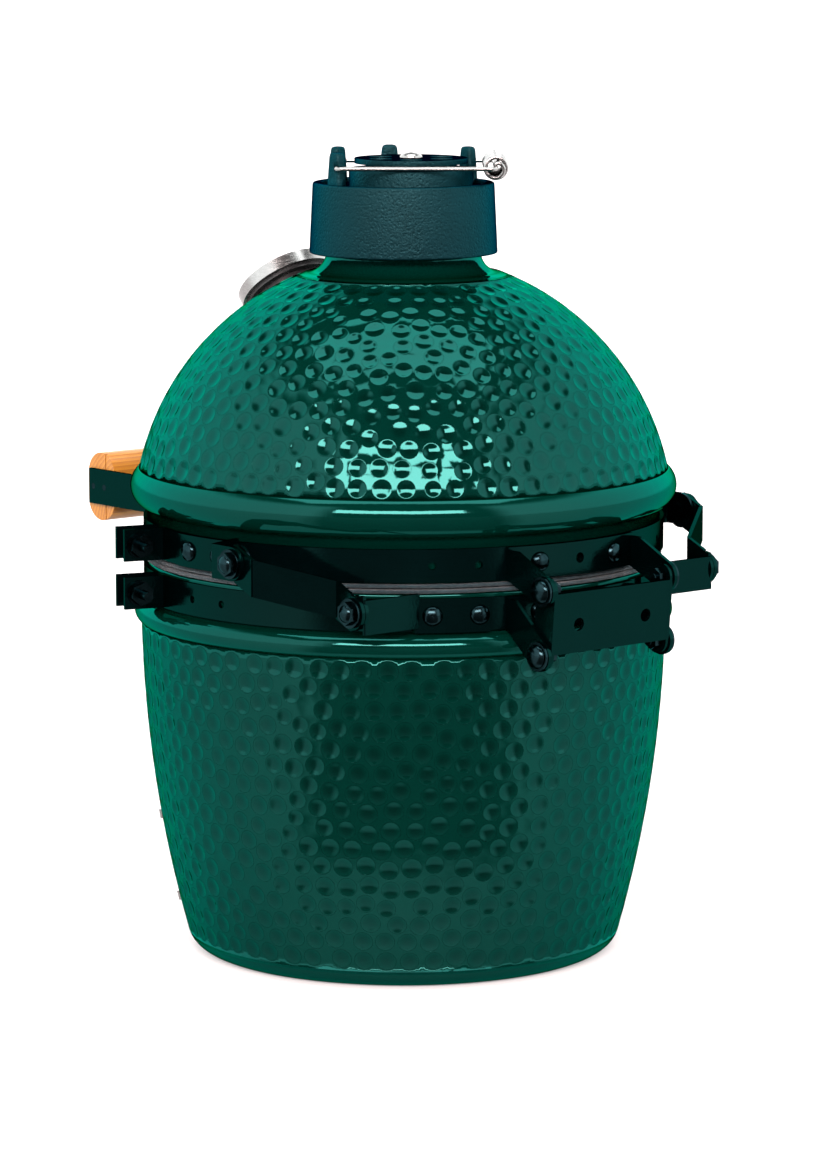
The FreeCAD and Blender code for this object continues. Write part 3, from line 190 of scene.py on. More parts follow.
def glaze():
    """Thick green glaze: darker where it pools in the dimples, thinner and lighter on the webs."""
    paint = Paint("green_glaze")
    paint.set(IOR=1.5)
    paint.veil((0.17, 0.82, 0.74))
    pool = paint.node("Attribute", attribute_name="pool").outputs["Fac"]
    cloud = paint.noise(14.0, 4.0, 0.6)
    depth = paint.sum(pool, paint.span(cloud, 0.3, 0.7, -0.25, 0.25))
    body = paint.ramp(depth, [(0.0, (0.0003, 0.0165, 0.0128)), (0.55, (0.0002, 0.0115, 0.0088)),
                              (1.0, (0.0001, 0.0085, 0.0064))])
    speck = paint.span(paint.noise(900.0, 2.0, 0.5), 0.62, 0.74, 0.0, 0.35)
    paint.colour(paint.mix(speck, body, (0.001, 0.016, 0.012)))
    paint.roughness(paint.span(paint.noise(55.0, 3.0, 0.5), 0.3, 0.7, 0.035, 0.075))
    return paint.bump(paint.noise(170.0, 2.0, 0.5), 0.00006).material


def clay(name, light, dark, grain):
    """Fired unglazed clay: pale body, fine grog, small pits."""
    paint = Paint(name)
    paint.set(IOR=1.45, Specular_IOR_Level=0.3)
    cloud = paint.noise(25.0, 5.0, 0.6)
    grog = paint.cells(grain)
    body = paint.ramp(cloud, [(0.3, dark), (0.7, light)])
    spots = paint.span(grog, 0.05, 0.16, 0.5, 0.0)
    paint.colour(paint.mix(spots, body, tuple(0.45 * c for c in dark)))
    paint.roughness(paint.span(cloud, 0.3, 0.7, 0.78, 0.95))
    rough = paint.sum(paint.noise(grain * 1.4, 4.0, 0.7), paint.span(grog, 0.0, 0.2, -0.5, 0.0))
    return paint.bump(rough, 0.0004).material


def cast_iron(name, body, dark, smooth):
    """Sand-cast iron under a thin matte coat: grainy skin, faint mottling, roughness that varies with the
    sand grain.
    """
    paint = Paint(name)
    paint.set(IOR=1.5, Specular_IOR_Level=0.45)
    paint.veil((0.2, 0.68, 0.76))
    cloud = paint.noise(38.0, 5.0, 0.6)
    sand = paint.noise(900.0, 3.0, 0.7)
    coarse = paint.cells(520.0)
    mottle = paint.sum(cloud, paint.span(sand, 0.2, 0.8, -0.3, 0.3))
    paint.colour(paint.ramp(mottle, [(0.3, dark), (0.75, body)]))
    paint.roughness(paint.span(sand, 0.3, 0.7, smooth, smooth + 0.22))
    skin = paint.sum(sand, paint.span(coarse, 0.0, 0.5, -0.5, 0.1))
    return paint.bump(skin, 0.00035).material


def gloss_paint():
    """Black powder coat on sheet steel: glossy with a fine orange peel."""
    paint = Paint("black_paint")
    paint.set(IOR=1.5, Specular_IOR_Level=0.36)
    paint.veil((0.12, 0.55, 0.50))
    cloud = paint.noise(30.0, 4.0, 0.6)
    dust = paint.span(paint.noise(1500.0, 2.0, 0.6), 0.66, 0.8, 0.0, 0.5)
    body = paint.ramp(cloud, [(0.3, (0.0006, 0.0016, 0.0021)), (0.7, (0.0014, 0.0032, 0.0040))])
    paint.colour(paint.mix(dust, body, (0.006, 0.012, 0.014)))
    paint.roughness(paint.span(paint.noise(220.0, 3.0, 0.6), 0.3, 0.7, 0.09, 0.17))
    return paint.bump(paint.noise(750.0, 2.0, 0.5), 0.00005).material


def dark_steel():
    """Black-plated fasteners: metal under a dark oxide, brighter where tools have rubbed."""
    paint = Paint("dark_fastener")
    paint.set(Metallic=1.0)
    paint.veil((0.42, 0.66, 0.68))
    cloud = paint.noise(160.0, 4.0, 0.6)
    rub = paint.noise(700.0, 3.0, 0.6)
    body = paint.ramp(cloud, [(0.3, (0.016, 0.026, 0.03)), (0.7, (0.04, 0.056, 0.062))])
    paint.colour(paint.mix(paint.span(rub, 0.62, 0.8, 0.0, 0.4), body, (0.12, 0.14, 0.145)))
    paint.roughness(paint.span(rub, 0.3, 0.7, 0.14, 0.26))
    return paint.bump(rub, 0.000012).material


def bright_steel(name, tint, low, high, grain=(300.0, 300.0, 2600.0)):
    """Stainless steel with a fine drawn grain and slight staining."""
    paint = Paint(name)
    paint.set(Metallic=1.0)
    stain = paint.noise(45.0, 4.0, 0.6)
    lines = paint.noise(1.0, 3.0, 0.6, paint.stretched(grain))
    light = tuple(min(1.0, c * 1.12) for c in tint)
    dull = tuple(c * 0.82 for c in tint)
    brushed = paint.sum(stain, paint.span(lines, 0.2, 0.8, -0.2, 0.2))
    paint.colour(paint.ramp(brushed, [(0.3, dull), (0.7, light)]))
    paint.roughness(paint.span(lines, 0.3, 0.7, low, high))
    return paint.bump(lines, 0.000012).material


def oiled_wood():
    """Honey hardwood, grain along X: growth rings and fine pores."""
    paint = Paint("handle_wood")
    paint.set(IOR=1.48, Specular_IOR_Level=0.4, Coat_Weight=0.3, Coat_Roughness=0.25)
    long_way = paint.stretched((9.0, 60.0, 60.0))
    rings = paint.node("TexWave", wave_type="RINGS", rings_direction="X", wave_profile="SAW")
    rings.inputs["Scale"].default_value = 130.0
    rings.inputs["Distortion"].default_value = 3.5
    rings.inputs["Detail"].default_value = 3.0
    rings.inputs["Detail Scale"].default_value = 0.7
    shifted = paint.node("Mapping")
    shifted.inputs["Location"].default_value = (0.0, 0.15, -0.205)
    shifted.inputs["Scale"].default_value = (0.12, 1.0, 1.0)
    paint.link(paint.place, shifted.inputs["Vector"])
    paint.link(shifted.outputs["Vector"], rings.inputs["Vector"])
    streak = paint.noise(1.0, 5.0, 0.65, long_way)
    ring_tone = paint.span(rings.outputs["Fac"], 0.0, 1.0, 0.0, 0.55)
    streak_tone = paint.span(streak, 0.25, 0.75, 0.0, 0.45)
    grain = paint.sum(ring_tone, streak_tone)
    body = paint.ramp(grain, [(0.1, (0.47, 0.215, 0.020)), (0.5, (0.38, 0.155, 0.014)),
                              (0.95, (0.24, 0.085, 0.007))])
    pores = paint.noise(1.0, 2.0, 0.6, paint.stretched((70.0, 1500.0, 1500.0)))
    paint.colour(paint.mix(paint.span(pores, 0.62, 0.75, 0.0, 0.55), body, (0.10, 0.028, 0.005)))
    paint.roughness(paint.span(streak, 0.3, 0.7, 0.34, 0.52))
    relief = paint.sum(pores, paint.span(rings.outputs["Fac"], 0.0, 1.0, 0.0, 0.6))
    return paint.bump(relief, 0.00012).material


def felt_wool():
    """Pressed blue-grey felt: matted fibres, soft sheen, a little soot."""
    paint = Paint("felt")
    paint.set(Sheen_Weight=0.2, Sheen_Roughness=0.5, Specular_IOR_Level=0.15)
    matted = paint.noise(420.0, 5.0, 0.75, distortion=1.6)
    tufts = paint.noise(90.0, 4.0, 0.6)
    body = paint.ramp(matted, [(0.25, (0.004, 0.012, 0.015)), (0.5, (0.012, 0.028, 0.034)),
                               (0.75, (0.04, 0.075, 0.086))])
    paint.colour(paint.mix(paint.span(tufts, 0.5, 0.75, 0.0, 0.45), body, (0.012, 0.018, 0.022)))
    paint.roughness(paint.span(matted, 0.2, 0.8, 0.85, 1.0))
    return paint.bump(matted, 0.0007).material


def enamel(name, colour, dirt, rough):
    """Plain enamel with faint clouding and fine dust."""
    paint = Paint(name)
    paint.set(IOR=1.5, Specular_IOR_Level=0.4)
    cloud = paint.noise(60.0, 4.0, 0.6)
    dust = paint.span(paint.noise(1400.0, 2.0, 0.6), 0.62, 0.78, 0.0, 0.4)
    body = paint.ramp(cloud, [(0.3, tuple(c * 0.86 for c in colour)), (0.7, colour)])
    paint.colour(paint.mix(dust, body, dirt))
    paint.roughness(paint.span(cloud, 0.3, 0.7, rough, rough + 0.12))
    return paint.bump(paint.noise(500.0, 2.0, 0.5), 0.00003).material


def clear_glass():
    paint = Paint("dial_glass")
    paint.set(IOR=1.45, Transmission_Weight=1.0, Base_Color=(0.97, 0.99, 0.99, 1.0))
    paint.roughness(paint.span(paint.noise(80.0, 3.0, 0.6), 0.3, 0.7, 0.0, 0.03))
    return paint.bump(paint.noise(60.0, 2.0, 0.5), 0.00001).material


def dark_aisle(paint):
    """Painted dark reflection: the sector of floor towards the camera, past about 0.24 m from the object
    and between the side walls, which glossy rays alone see as near black.
    """
    split = paint.node("SeparateXYZ")
    paint.link(paint.place, split.inputs["Vector"])
    x, y, _ = split.outputs
    c, s = math.cos(CAMERA_AZIMUTH), math.sin(CAMERA_AZIMUTH)
    toward = paint.sum(paint.sum(x, s, "MULTIPLY"), paint.sum(y, c, "MULTIPLY"))
    side = paint.sum(paint.sum(x, -c, "MULTIPLY"), paint.sum(y, s, "MULTIPLY"))
    turn = paint.sum(side, toward, "ARCTAN2")
    reach = paint.sum(paint.sum(side, 2.0, "POWER"), paint.sum(toward, 2.0, "POWER"))
    reach = paint.sum(reach, 0.5, "POWER")
    from_left = paint.span(turn, -0.75, -0.55, 0.0, 1.0)
    to_right = paint.span(turn, 0.65, 0.85, 1.0, 0.0)
    sector = paint.sum(from_left, to_right, "MULTIPLY")
    inside = paint.sum(sector, paint.span(reach, 0.215, 0.26, 0.0, 1.0), "MULTIPLY")
    gloss = paint.node("LightPath").outputs["Is Glossy Ray"]
    return paint.sum(inside, gloss, "MULTIPLY")


def floor_paper():
    paint = Paint("floor_paper")
    paint.set(Specular_IOR_Level=0.1)
    cloud = paint.noise(0.7, 3.0, 0.5)
    paper = paint.ramp(cloud, [(0.3, (0.50, 0.50, 0.50)), (0.7, (0.52, 0.52, 0.52))])
    # Painted dark reflection: the floor colour goes near black in that sector, for glossy rays only.
    paint.colour(paint.mix(paint.sum(dark_aisle(paint), 0.94, "MULTIPLY"), paper, (0.02, 0.02, 0.02)))
    paint.roughness(paint.span(cloud, 0.3, 0.7, 0.8, 0.9))
    glow = paint.sum(paint.node("LightPath").outputs["Is Camera Ray"], 0.34, "MULTIPLY")
    paint.link(glow, paint.shader.inputs["Emission Strength"])
    paint.set(Emission_Color=(1.0, 1.0, 1.0, 1.0))
    return paint.bump(paint.noise(500.0, 3.0, 0.6), 0.0002).material


GLAZE = glaze()
RAW_CLAY = clay("raw_clay", (0.34, 0.30, 0.24), (0.25, 0.21, 0.17), 480.0)
FINISHES = {
    "green_glaze": GLAZE,
    "fire_clay": clay("fire_clay", (0.50, 0.42, 0.31), (0.36, 0.29, 0.21), 300.0),
    "cast_iron": cast_iron("cast_iron", (0.0022, 0.0105, 0.0135), (0.0007, 0.0035, 0.0048), 0.36),
    "grid_steel": bright_steel("grid_steel", (0.56, 0.56, 0.55), 0.16, 0.3),
    "felt": felt_wool(),
    "black_paint": gloss_paint(),
    "dark_fastener": dark_steel(),
    "stainless": bright_steel("stainless", (0.34, 0.345, 0.34), 0.16, 0.3),
    "handle_wood": oiled_wood(),
    "case_metal": enamel("case_metal", (0.02, 0.022, 0.023), (0.06, 0.06, 0.06), 0.22),
    "dial_white": enamel("dial_white", (0.78, 0.78, 0.74), (0.6, 0.58, 0.52), 0.35),
    "dial_glass": clear_glass(),
    "needle_red": enamel("needle_red", (0.48, 0.012, 0.008), (0.3, 0.05, 0.04), 0.3),
}
PRINT_BLACK = enamel("print_black", (0.012, 0.012, 0.012), (0.03, 0.03, 0.03), 0.4)


# ---------------------------------------------------------------- mesh helpers

def mesh_piece(name, points, faces, materials, face_materials=None):
    """A piece from points in millimetres and its faces, shaded smooth."""
    mesh = bpy.data.meshes.new(name)
    mesh.from_pydata((np.asarray(points, float) * MM).tolist(), [], faces)
    for material in materials:
        mesh.materials.append(material)
    if face_materials is not None:
        mesh.polygons.foreach_set("material_index", np.asarray(face_materials, np.int32))
    mesh.polygons.foreach_set("use_smooth", np.ones(len(faces), bool))
    mesh.update()
    piece = bpy.data.objects.new(name, mesh)
    bpy.context.scene.collection.objects.link(piece)
    return piece


def arc(start, end, radius, side, count):
    """Points after start on the arc to end; side +1 bulges to the left of the way, -1 to the right."""
    (sx, sy), (ex, ey) = start, end
    chord = math.hypot(ex - sx, ey - sy)
    drop = math.sqrt(radius ** 2 - chord ** 2 / 4)
    nx, ny = -(ey - sy) / chord, (ex - sx) / chord
    cx = (sx + ex) / 2 - side * drop * nx
    cy = (sy + ey) / 2 - side * drop * ny
    first = math.atan2(sy - cy, sx - cx)
    sweep = (math.atan2(ey - cy, ex - cx) - first + math.pi) % (2 * math.pi) - math.pi
    angles = [first + sweep * (k + 1) / count for k in range(count)]
    return [(cx + radius * math.cos(a), cy + radius * math.sin(a)) for a in angles]


def rounded(before, corner, after, radius, count=3):
    """A small round in place of a sharp corner of a profile."""
    c = Vector(corner)
    a = (Vector(before) - c).normalized() * radius
    b = (Vector(after) - c).normalized() * radius
    steps = [k / count for k in range(count + 1)]
    return [tuple(c + a * (1 - t) ** 2 + b * t ** 2) for t in steps]


class Surface:
    """Vertices and faces gathered from turned strips and dimpled zones."""

    def __init__(self):
        self.points = []
        self.faces = []
        self.kinds = []
        self.pool = []

    def ring(self, r, z):
        first = len(self.points)
        for k in range(RING_SEGMENTS):
            a = 2 * math.pi * k / RING_SEGMENTS
            self.points.append((r * math.cos(a), r * math.sin(a), z))
            self.pool.append(0.0)
        return list(range(first, first + RING_SEGMENTS))

    def strip(self, low, high, kind):
        """Quads between two rings, outward when the profile runs upwards on the outside."""
        for k in range(RING_SEGMENTS):
            n = (k + 1) % RING_SEGMENTS
            self.faces.append((low[k], low[n], high[n], high[k]))
            self.kinds.append(kind)

    def turn(self, profile, kind, start=None):
        """A turned strip along a profile; returns its first and last rings."""
        rings = [start] if start else []
        rings += [self.ring(r, z) for r, z in profile]
        for low, high in zip(rings[:-1], rings[1:]):
            self.strip(low, high, kind)
        return rings[0], rings[-1]

    def cap(self, ring, height, kind, upward):
        """Close a ring with a fan to the axis."""
        centre = len(self.points)
        self.points.append((0.0, 0.0, height))
        self.pool.append(0.0)
        for k in range(RING_SEGMENTS):
            n = (k + 1) % RING_SEGMENTS
            self.faces.append((ring[k], ring[n], centre) if upward else (ring[n], ring[k], centre))
            self.kinds.append(kind)

    def piece(self, name, materials):
        made = mesh_piece(name, self.points, self.faces, materials, self.kinds)
        pool = made.data.attributes.new("pool", "FLOAT", "POINT")
        pool.data.foreach_set("value", np.asarray(self.pool, np.float32))
        return made


# ---------------------------------------------------------------- dimples

class Zone:
    """A stretch of a turned surface, measured along its profile."""

    def __init__(self, profile):
        r, z = np.array(profile).T
        step = np.hypot(np.diff(r), np.diff(z))
        self.s = np.concatenate([[0.0], np.cumsum(step)])
        self.r, self.z = r, z
        tangent_r = np.gradient(r, self.s)
        tangent_z = np.gradient(z, self.s)
        size = np.hypot(tangent_r, tangent_z)
        self.nr, self.nz = tangent_z / size, -tangent_r / size
        self.w = np.concatenate([[0.0], np.cumsum(step * 2 / (r[1:] + r[:-1]))])
        self.length = self.s[-1]

    def radius(self, s):
        return np.interp(s, self.s, self.r)

    def point(self, s, a, sink=0.0):
        r = self.radius(s) - sink * np.interp(s, self.s, self.nr)
        z = np.interp(s, self.s, self.z) - sink * np.interp(s, self.s, self.nz)
        return np.stack([r * np.cos(a), r * np.sin(a), z], -1)

    def flat(self, s, a):
        """A conformal plan of the zone, where a triangulation keeps its shape."""
        grow = np.exp(np.interp(s, self.s, self.w))
        return np.stack([grow * np.cos(a), grow * np.sin(a)], -1)


def scatter(zone, pitch, low_margin, high_margin, seed):
    """Dimple centres: staggered rows, jittered and then pushed apart."""
    rng = np.random.default_rng(seed)
    low, high = low_margin, zone.length - high_margin
    rows = max(2, round((high - low) / (pitch * 0.866)) + 1)
    s, a = [], []
    for row in range(rows):
        at = low + (high - low) * row / (rows - 1)
        count = max(6, round(2 * math.pi * float(zone.radius(at)) / pitch))
        turn = rng.uniform(0, 2 * math.pi)
        for k in range(count):
            s.append(at)
            a.append(turn + 2 * math.pi * k / count)
    s = np.array(s) + rng.normal(0, pitch * 0.24, len(s))
    a = np.array(a) + rng.normal(0, pitch * 0.24, len(a)) / zone.radius(s)
    for _ in range(9):
        p = zone.point(s, a)
        gap = p[:, None, :] - p[None, :, :]
        distance = np.linalg.norm(gap, axis=2) + np.eye(len(s)) * 1e3
        push = np.clip(pitch * 0.97 - distance, 0.0, None) / distance
        move = (gap * push[:, :, None]).sum(1) * 0.32
        around = np.stack([-np.sin(a), np.cos(a), np.zeros_like(a)], -1)
        slope_r = np.interp(s, zone.s, np.gradient(zone.r, zone.s))
        slope_z = np.interp(s, zone.s, np.gradient(zone.z, zone.s))
        along = np.stack([slope_r * np.cos(a), slope_r * np.sin(a), slope_z], -1)
        a = a + (move * around).sum(1) / zone.radius(s)
        s = np.clip(s + (move * along).sum(1), low, high)
    p = zone.point(s, a)
    distance = np.linalg.norm(p[:, None, :] - p[None, :, :], axis=2) + np.eye(len(s)) * 1e3
    nearest = distance.min(1)
    radius = np.clip(nearest * 0.455, 3.2, 5.75) * rng.uniform(0.95, 1.0, len(s))
    depth = DIMPLE_DEPTH * (radius / 5.5) ** 1.3 * rng.uniform(0.8, 1.12, len(s))
    return s, a, radius, depth


def dimple_rings(count):
    """Shares of the radius, close together near the rim where the slope changes."""
    return [1.05, 1.0, 0.93] + [0.93 * (1 - (k + 1) / (count - 2)) ** 0.85 for k in range(count - 3)]


def dimpled_zone(surface, low, high, zone, sides, ring_count, margins, seed):
    """Dimples pressed into the zone, and the web between them joined to the rings low and high."""
    s, a, radius, depth = scatter(zone, DIMPLE_PITCH, margins[0], margins[1], seed)
    shares = dimple_rings(ring_count)
    plan, ids, owner = [], [], []
    for ring_ids, at in ((low, 0.0), (high, zone.length)):
        angles = 2 * np.pi * np.arange(RING_SEGMENTS) / RING_SEGMENTS
        plan.extend(zone.flat(np.full(RING_SEGMENTS, at), angles).tolist())
        ids.extend(ring_ids)
        owner.extend([-1 if at == 0.0 else -2] * RING_SEGMENTS)
    spokes = 2 * np.pi * np.arange(sides) / sides
    for index in range(len(s)):
        rings = []
        for share in shares:
            reach = radius[index] * share
            ring_s = np.clip(s[index] + reach * np.sin(spokes), 0.15, zone.length - 0.15)
            ring_a = a[index] + reach * np.cos(spokes) / zone.radius(ring_s)
            hollow = max(0.0, 1 - min(share, 1.0) ** 2) ** 1.25
            where = zone.point(ring_s, ring_a, depth[index] * hollow)
            first = len(surface.points)
            surface.points.extend(map(tuple, where.tolist()))
            surface.pool.extend([hollow] * sides)
            rings.append(list(range(first, first + sides)))
            if share == shares[0]:
                plan.extend(zone.flat(ring_s, ring_a).tolist())
                ids.extend(rings[0])
                owner.extend([index] * sides)
        bottom = len(surface.points)
        surface.points.append(tuple(zone.point(s[index], a[index], depth[index]).tolist()))
        surface.pool.append(1.0)
        for outer, inner in zip(rings[:-1], rings[1:]):
            for k in range(sides):
                n = (k + 1) % sides
                surface.faces.append((outer[k], outer[n], inner[n], inner[k]))
                surface.kinds.append(0)
        for k in range(sides):
            surface.faces.append((rings[-1][k], rings[-1][(k + 1) % sides], bottom))
            surface.kinds.append(0)
    add_web(surface, plan, ids, owner)


def add_web(surface, plan, ids, owner):
    """Triangles between the dimples' rims and the two rings that bound the zone."""
    web = geometry.delaunay_2d_cdt([Vector(p) for p in plan], [], [], 0, 1e-9)
    triangles, origins = web[2], web[3]
    source = [o[0] if o else None for o in origins]
    for triangle in triangles:
        chosen = [source[v] for v in triangle]
        owners = {owner[c] for c in chosen}
        if len(owners) == 1 and owner[chosen[0]] != -2:
            continue
        surface.faces.append(tuple(ids[c] for c in chosen))
        surface.kinds.append(0)


# ---------------------------------------------------------------- shells

def cutter(points, faces):
    made = mesh_piece("cutter", points, faces, [])
    return made


def cut_out(piece, tool):
    combine(piece, tool, "DIFFERENCE")


def combine(piece, tool, operation):
    """Join or take out the tool's solid for good."""
    step = piece.modifiers.new("cut", "BOOLEAN")
    step.operation = operation
    step.solver = "EXACT"
    step.object = tool
    graph = bpy.context.evaluated_depsgraph_get()
    mesh = bpy.data.meshes.new_from_object(piece.evaluated_get(graph), depsgraph=graph)
    piece.modifiers.clear()
    old = piece.data
    piece.data = mesh
    bpy.data.meshes.remove(old)
    bpy.data.objects.remove(tool)


def box_tool(low, high):
    """A plain box for cutting, from its low and high corners in millimetres."""
    corners = [(x, y, z) for x in (low[0], high[0]) for y in (low[1], high[1]) for z in (low[2], high[2])]
    faces = [(0, 1, 3, 2), (4, 6, 7, 5), (0, 4, 5, 1), (2, 3, 7, 6), (0, 2, 6, 4), (1, 5, 7, 3)]
    return cutter(corners, faces)


def drill_tool(start, way, radius, length, sides=40):
    """A round bar for cutting."""
    turn = Vector(way).to_track_quat("Z", "Y").to_matrix()
    points = []
    for height in (0.0, length):
        for k in range(sides):
            a = 2 * math.pi * k / sides
            local = Vector((radius * math.cos(a), radius * math.sin(a), height))
            points.append(tuple(Vector(start) + turn @ local))
    faces = [tuple(range(sides))[::-1], tuple(range(sides, 2 * sides))]
    faces += [(k, (k + 1) % sides, (k + 1) % sides + sides, k + sides) for k in range(sides)]
    return cutter(points, faces)


def foot_round():
    """Where the foot's fillet meets the floor and the wall."""
    wall = arc((BASE_FOOT_EDGE, 0.0), (BASE_TOP_R, BASE_TOP_Z), BASE_SWELL, -1, 2)
    (x0, y0), (x1, y1), (x2, y2) = (BASE_FOOT_EDGE, 0.0), wall[0], wall[1]
    d = 2 * (x0 * (y1 - y2) + x1 * (y2 - y0) + x2 * (y0 - y1))
    q0, q1, q2 = x0 * x0 + y0 * y0, x1 * x1 + y1 * y1, x2 * x2 + y2 * y2
    cx = (q0 * (y1 - y2) + q1 * (y2 - y0) + q2 * (y0 - y1)) / d
    cy = (q0 * (x2 - x1) + q1 * (x0 - x2) + q2 * (x1 - x0)) / d
    inner = BASE_SWELL - BASE_FOOT_ROUND
    fx = cx + math.sqrt(inner ** 2 - (BASE_FOOT_ROUND - cy) ** 2)
    lean = math.atan2(BASE_FOOT_ROUND - cy, fx - cx)
    on_wall = (cx + BASE_SWELL * math.cos(lean), cy + BASE_SWELL * math.sin(lean))
    return (fx, 0.0), on_wall


def base_glaze():
    """The base: dimpled wall, plain foot and bead, raw clay inside, and the draft port."""
    surface = Surface()
    on_floor, on_wall = foot_round()
    foot = [on_floor] + arc(on_floor, on_wall, BASE_FOOT_ROUND, -1, 8)
    _, wall_low = surface.turn(foot, 0)
    wall = [on_wall] + arc(on_wall, (BASE_TOP_R, BASE_TOP_Z), BASE_SWELL, -1, 120)
    wall_high = surface.ring(BASE_TOP_R, BASE_TOP_Z)
    dimpled_zone(surface, wall_low, wall_high, Zone(wall), 16, 6, (6.5, 6.3), 7)
    bead = arc((BASE_TOP_R, BASE_TOP_Z), (BEAD_END_R, BEAD_END_Z), BEAD_R, -1, 14)
    collar_low = (COLLAR_R, BEAD_END_Z + 0.8)
    rim_out, rim_in = (COLLAR_R, BASE_RIM_Z), (BASE_RIM_INNER_R, BASE_RIM_Z)
    top = bead + [collar_low] + rounded(collar_low, rim_out, rim_in, 1.2)
    _, glazed_end = surface.turn(top, 0, wall_high)
    floor_edge = (BASE_FLOOR_R, BASE_FLOOR_Z)
    inside = rounded(rim_out, rim_in, floor_edge, 1.2)
    inside += arc(rim_in, floor_edge, BASE_INNER_SWELL, 1, 30)
    _, floor_ring = surface.turn(inside, 1, glazed_end)
    surface.cap(floor_ring, BASE_FLOOR_Z, 1, True)
    surface.cap(surface_first_ring(), 0.0, 1, False)
    piece = surface.piece("base_glaze", [GLAZE, RAW_CLAY])
    half = DRAFT_WIDTH / 2
    cut_out(piece, box_tool((-half, -150.0, DRAFT_LOW_Z), (half, -70.0, DRAFT_HIGH_Z)))
    return piece


def surface_first_ring():
    return list(range(RING_SEGMENTS))


def dome_profile_low():
    """From the dome's rim up over the collar and the bulge to the first dimples."""
    rim_in, rim_out = (INNER_RIM_R, DOME_RIM_Z), (COLLAR_R, DOME_RIM_Z)
    collar = (COLLAR_R, DOME_COLLAR_TOP_Z)
    lip = (DOME_LIP_R, DOME_COLLAR_TOP_Z + 0.8)
    bulge = arc(lip, (BULGE_END_R, BULGE_END_Z), BULGE_R, -1, 18)
    return rounded(rim_in, rim_out, collar, 1.2) + [collar, lip] + bulge


def dome_glaze():
    """The dome: plain rim and bulge, dimpled cap, plain neck, raw clay inside."""
    surface = Surface()
    low, sphere_low = surface.turn(dome_profile_low(), 0)
    sphere = [(BULGE_END_R, BULGE_END_Z)]
    sphere += arc(sphere[0], (SHOULDER_R, SHOULDER_Z), SPHERE_R, -1, 160)
    plain_from = next(i for i, (r, _) in enumerate(sphere) if r < 57.0)
    zone = Zone(sphere[:plain_from + 1])
    zone_high = surface.ring(*sphere[plain_from])
    dimpled_zone(surface, sphere_low, zone_high, zone, 18, 7, (5.4, 6.2), 11)
    neck_low, neck_top = (NECK_R, NECK_LOW_Z), (NECK_R, NECK_TOP_Z)
    bore_top, bore_low = (BORE_R, NECK_TOP_Z), (BORE_R, BORE_LOW_Z)
    top = sphere[plain_from + 3:-1:3] + [(SHOULDER_R, SHOULDER_Z)]
    top += arc((SHOULDER_R, SHOULDER_Z), neck_low, NECK_ROUND, 1, 10)
    top += rounded(neck_low, neck_top, bore_top, 1.5)
    _, neck_end = surface.turn(top, 0, zone_high)
    inside = rounded(neck_top, bore_top, bore_low, 1.5) + [bore_low]
    inside += arc(bore_low, (INNER_LOW_R, INNER_LOW_Z), INNER_SPHERE, 1, 30)
    inside += [(INNER_RIM_R, INNER_STEP_Z), (INNER_RIM_R, DOME_RIM_Z)]
    _, inner_end = surface.turn(inside, 1, neck_end)
    surface.strip(inner_end, low, 1)
    piece = surface.piece("dome_glaze", [GLAZE, RAW_CLAY])
    cut_out(piece, drill_tool(thermometer_point(-60.0), thermometer_way(), 3.2, 90.0))
    return piece


def thermometer_way():
    return (0.0, -math.sin(THERMO_POLAR), math.cos(THERMO_POLAR))


def thermometer_point(height):
    """A point on the thermometer's axis, in millimetres, at a height above the dome."""
    way = thermometer_way()
    far = SPHERE_R + height
    return (0.0, far * way[1], THERMO_CENTRE_Z + far * way[2])


# ---------------------------------------------------------------- smaller pieces

def felt_ring(name, node):
    """A felt gasket: a squashed ring whose surface is teased into tufts."""
    low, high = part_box(node)
    outer = high.x / MM - 0.35
    inner = 125.3
    bottom, top = low.z / MM, high.z / MM
    rng = random.Random(len(name))
    around, section = 720, 14
    points, faces = [], []
    for k in range(around):
        a = 2 * math.pi * k / around
        for j in range(section):
            t = 2 * math.pi * j / section
            width = (outer - inner) / 2
            r = (outer + inner) / 2 + width * math.copysign(abs(math.cos(t)) ** 0.5, math.cos(t))
            bulge = math.copysign(abs(math.sin(t)) ** 0.5, math.sin(t))
            z = (top + bottom) / 2 + (top - bottom) / 2 * bulge * 0.93
            r += rng.uniform(-0.35, 0.3)
            z += rng.uniform(-0.08, 0.08)
            z = min(max(z, bottom), top)
            points.append((r * math.cos(a), r * math.sin(a), z))
    for k in range(around):
        n = (k + 1) % around
        for j in range(section):
            m = (j + 1) % section
            faces.append((k * section + j, n * section + j, n * section + m, k * section + m))
    return mesh_piece(name, points, faces, [FINISHES["felt"]])


def cap_point(u, d, z):
    """A point by the cap's own axes: u across the bail, d along its pivots."""
    c, s = math.cos(CAP_TURN), math.sin(CAP_TURN)
    return (u * c + d * s, u * s - d * c, z)


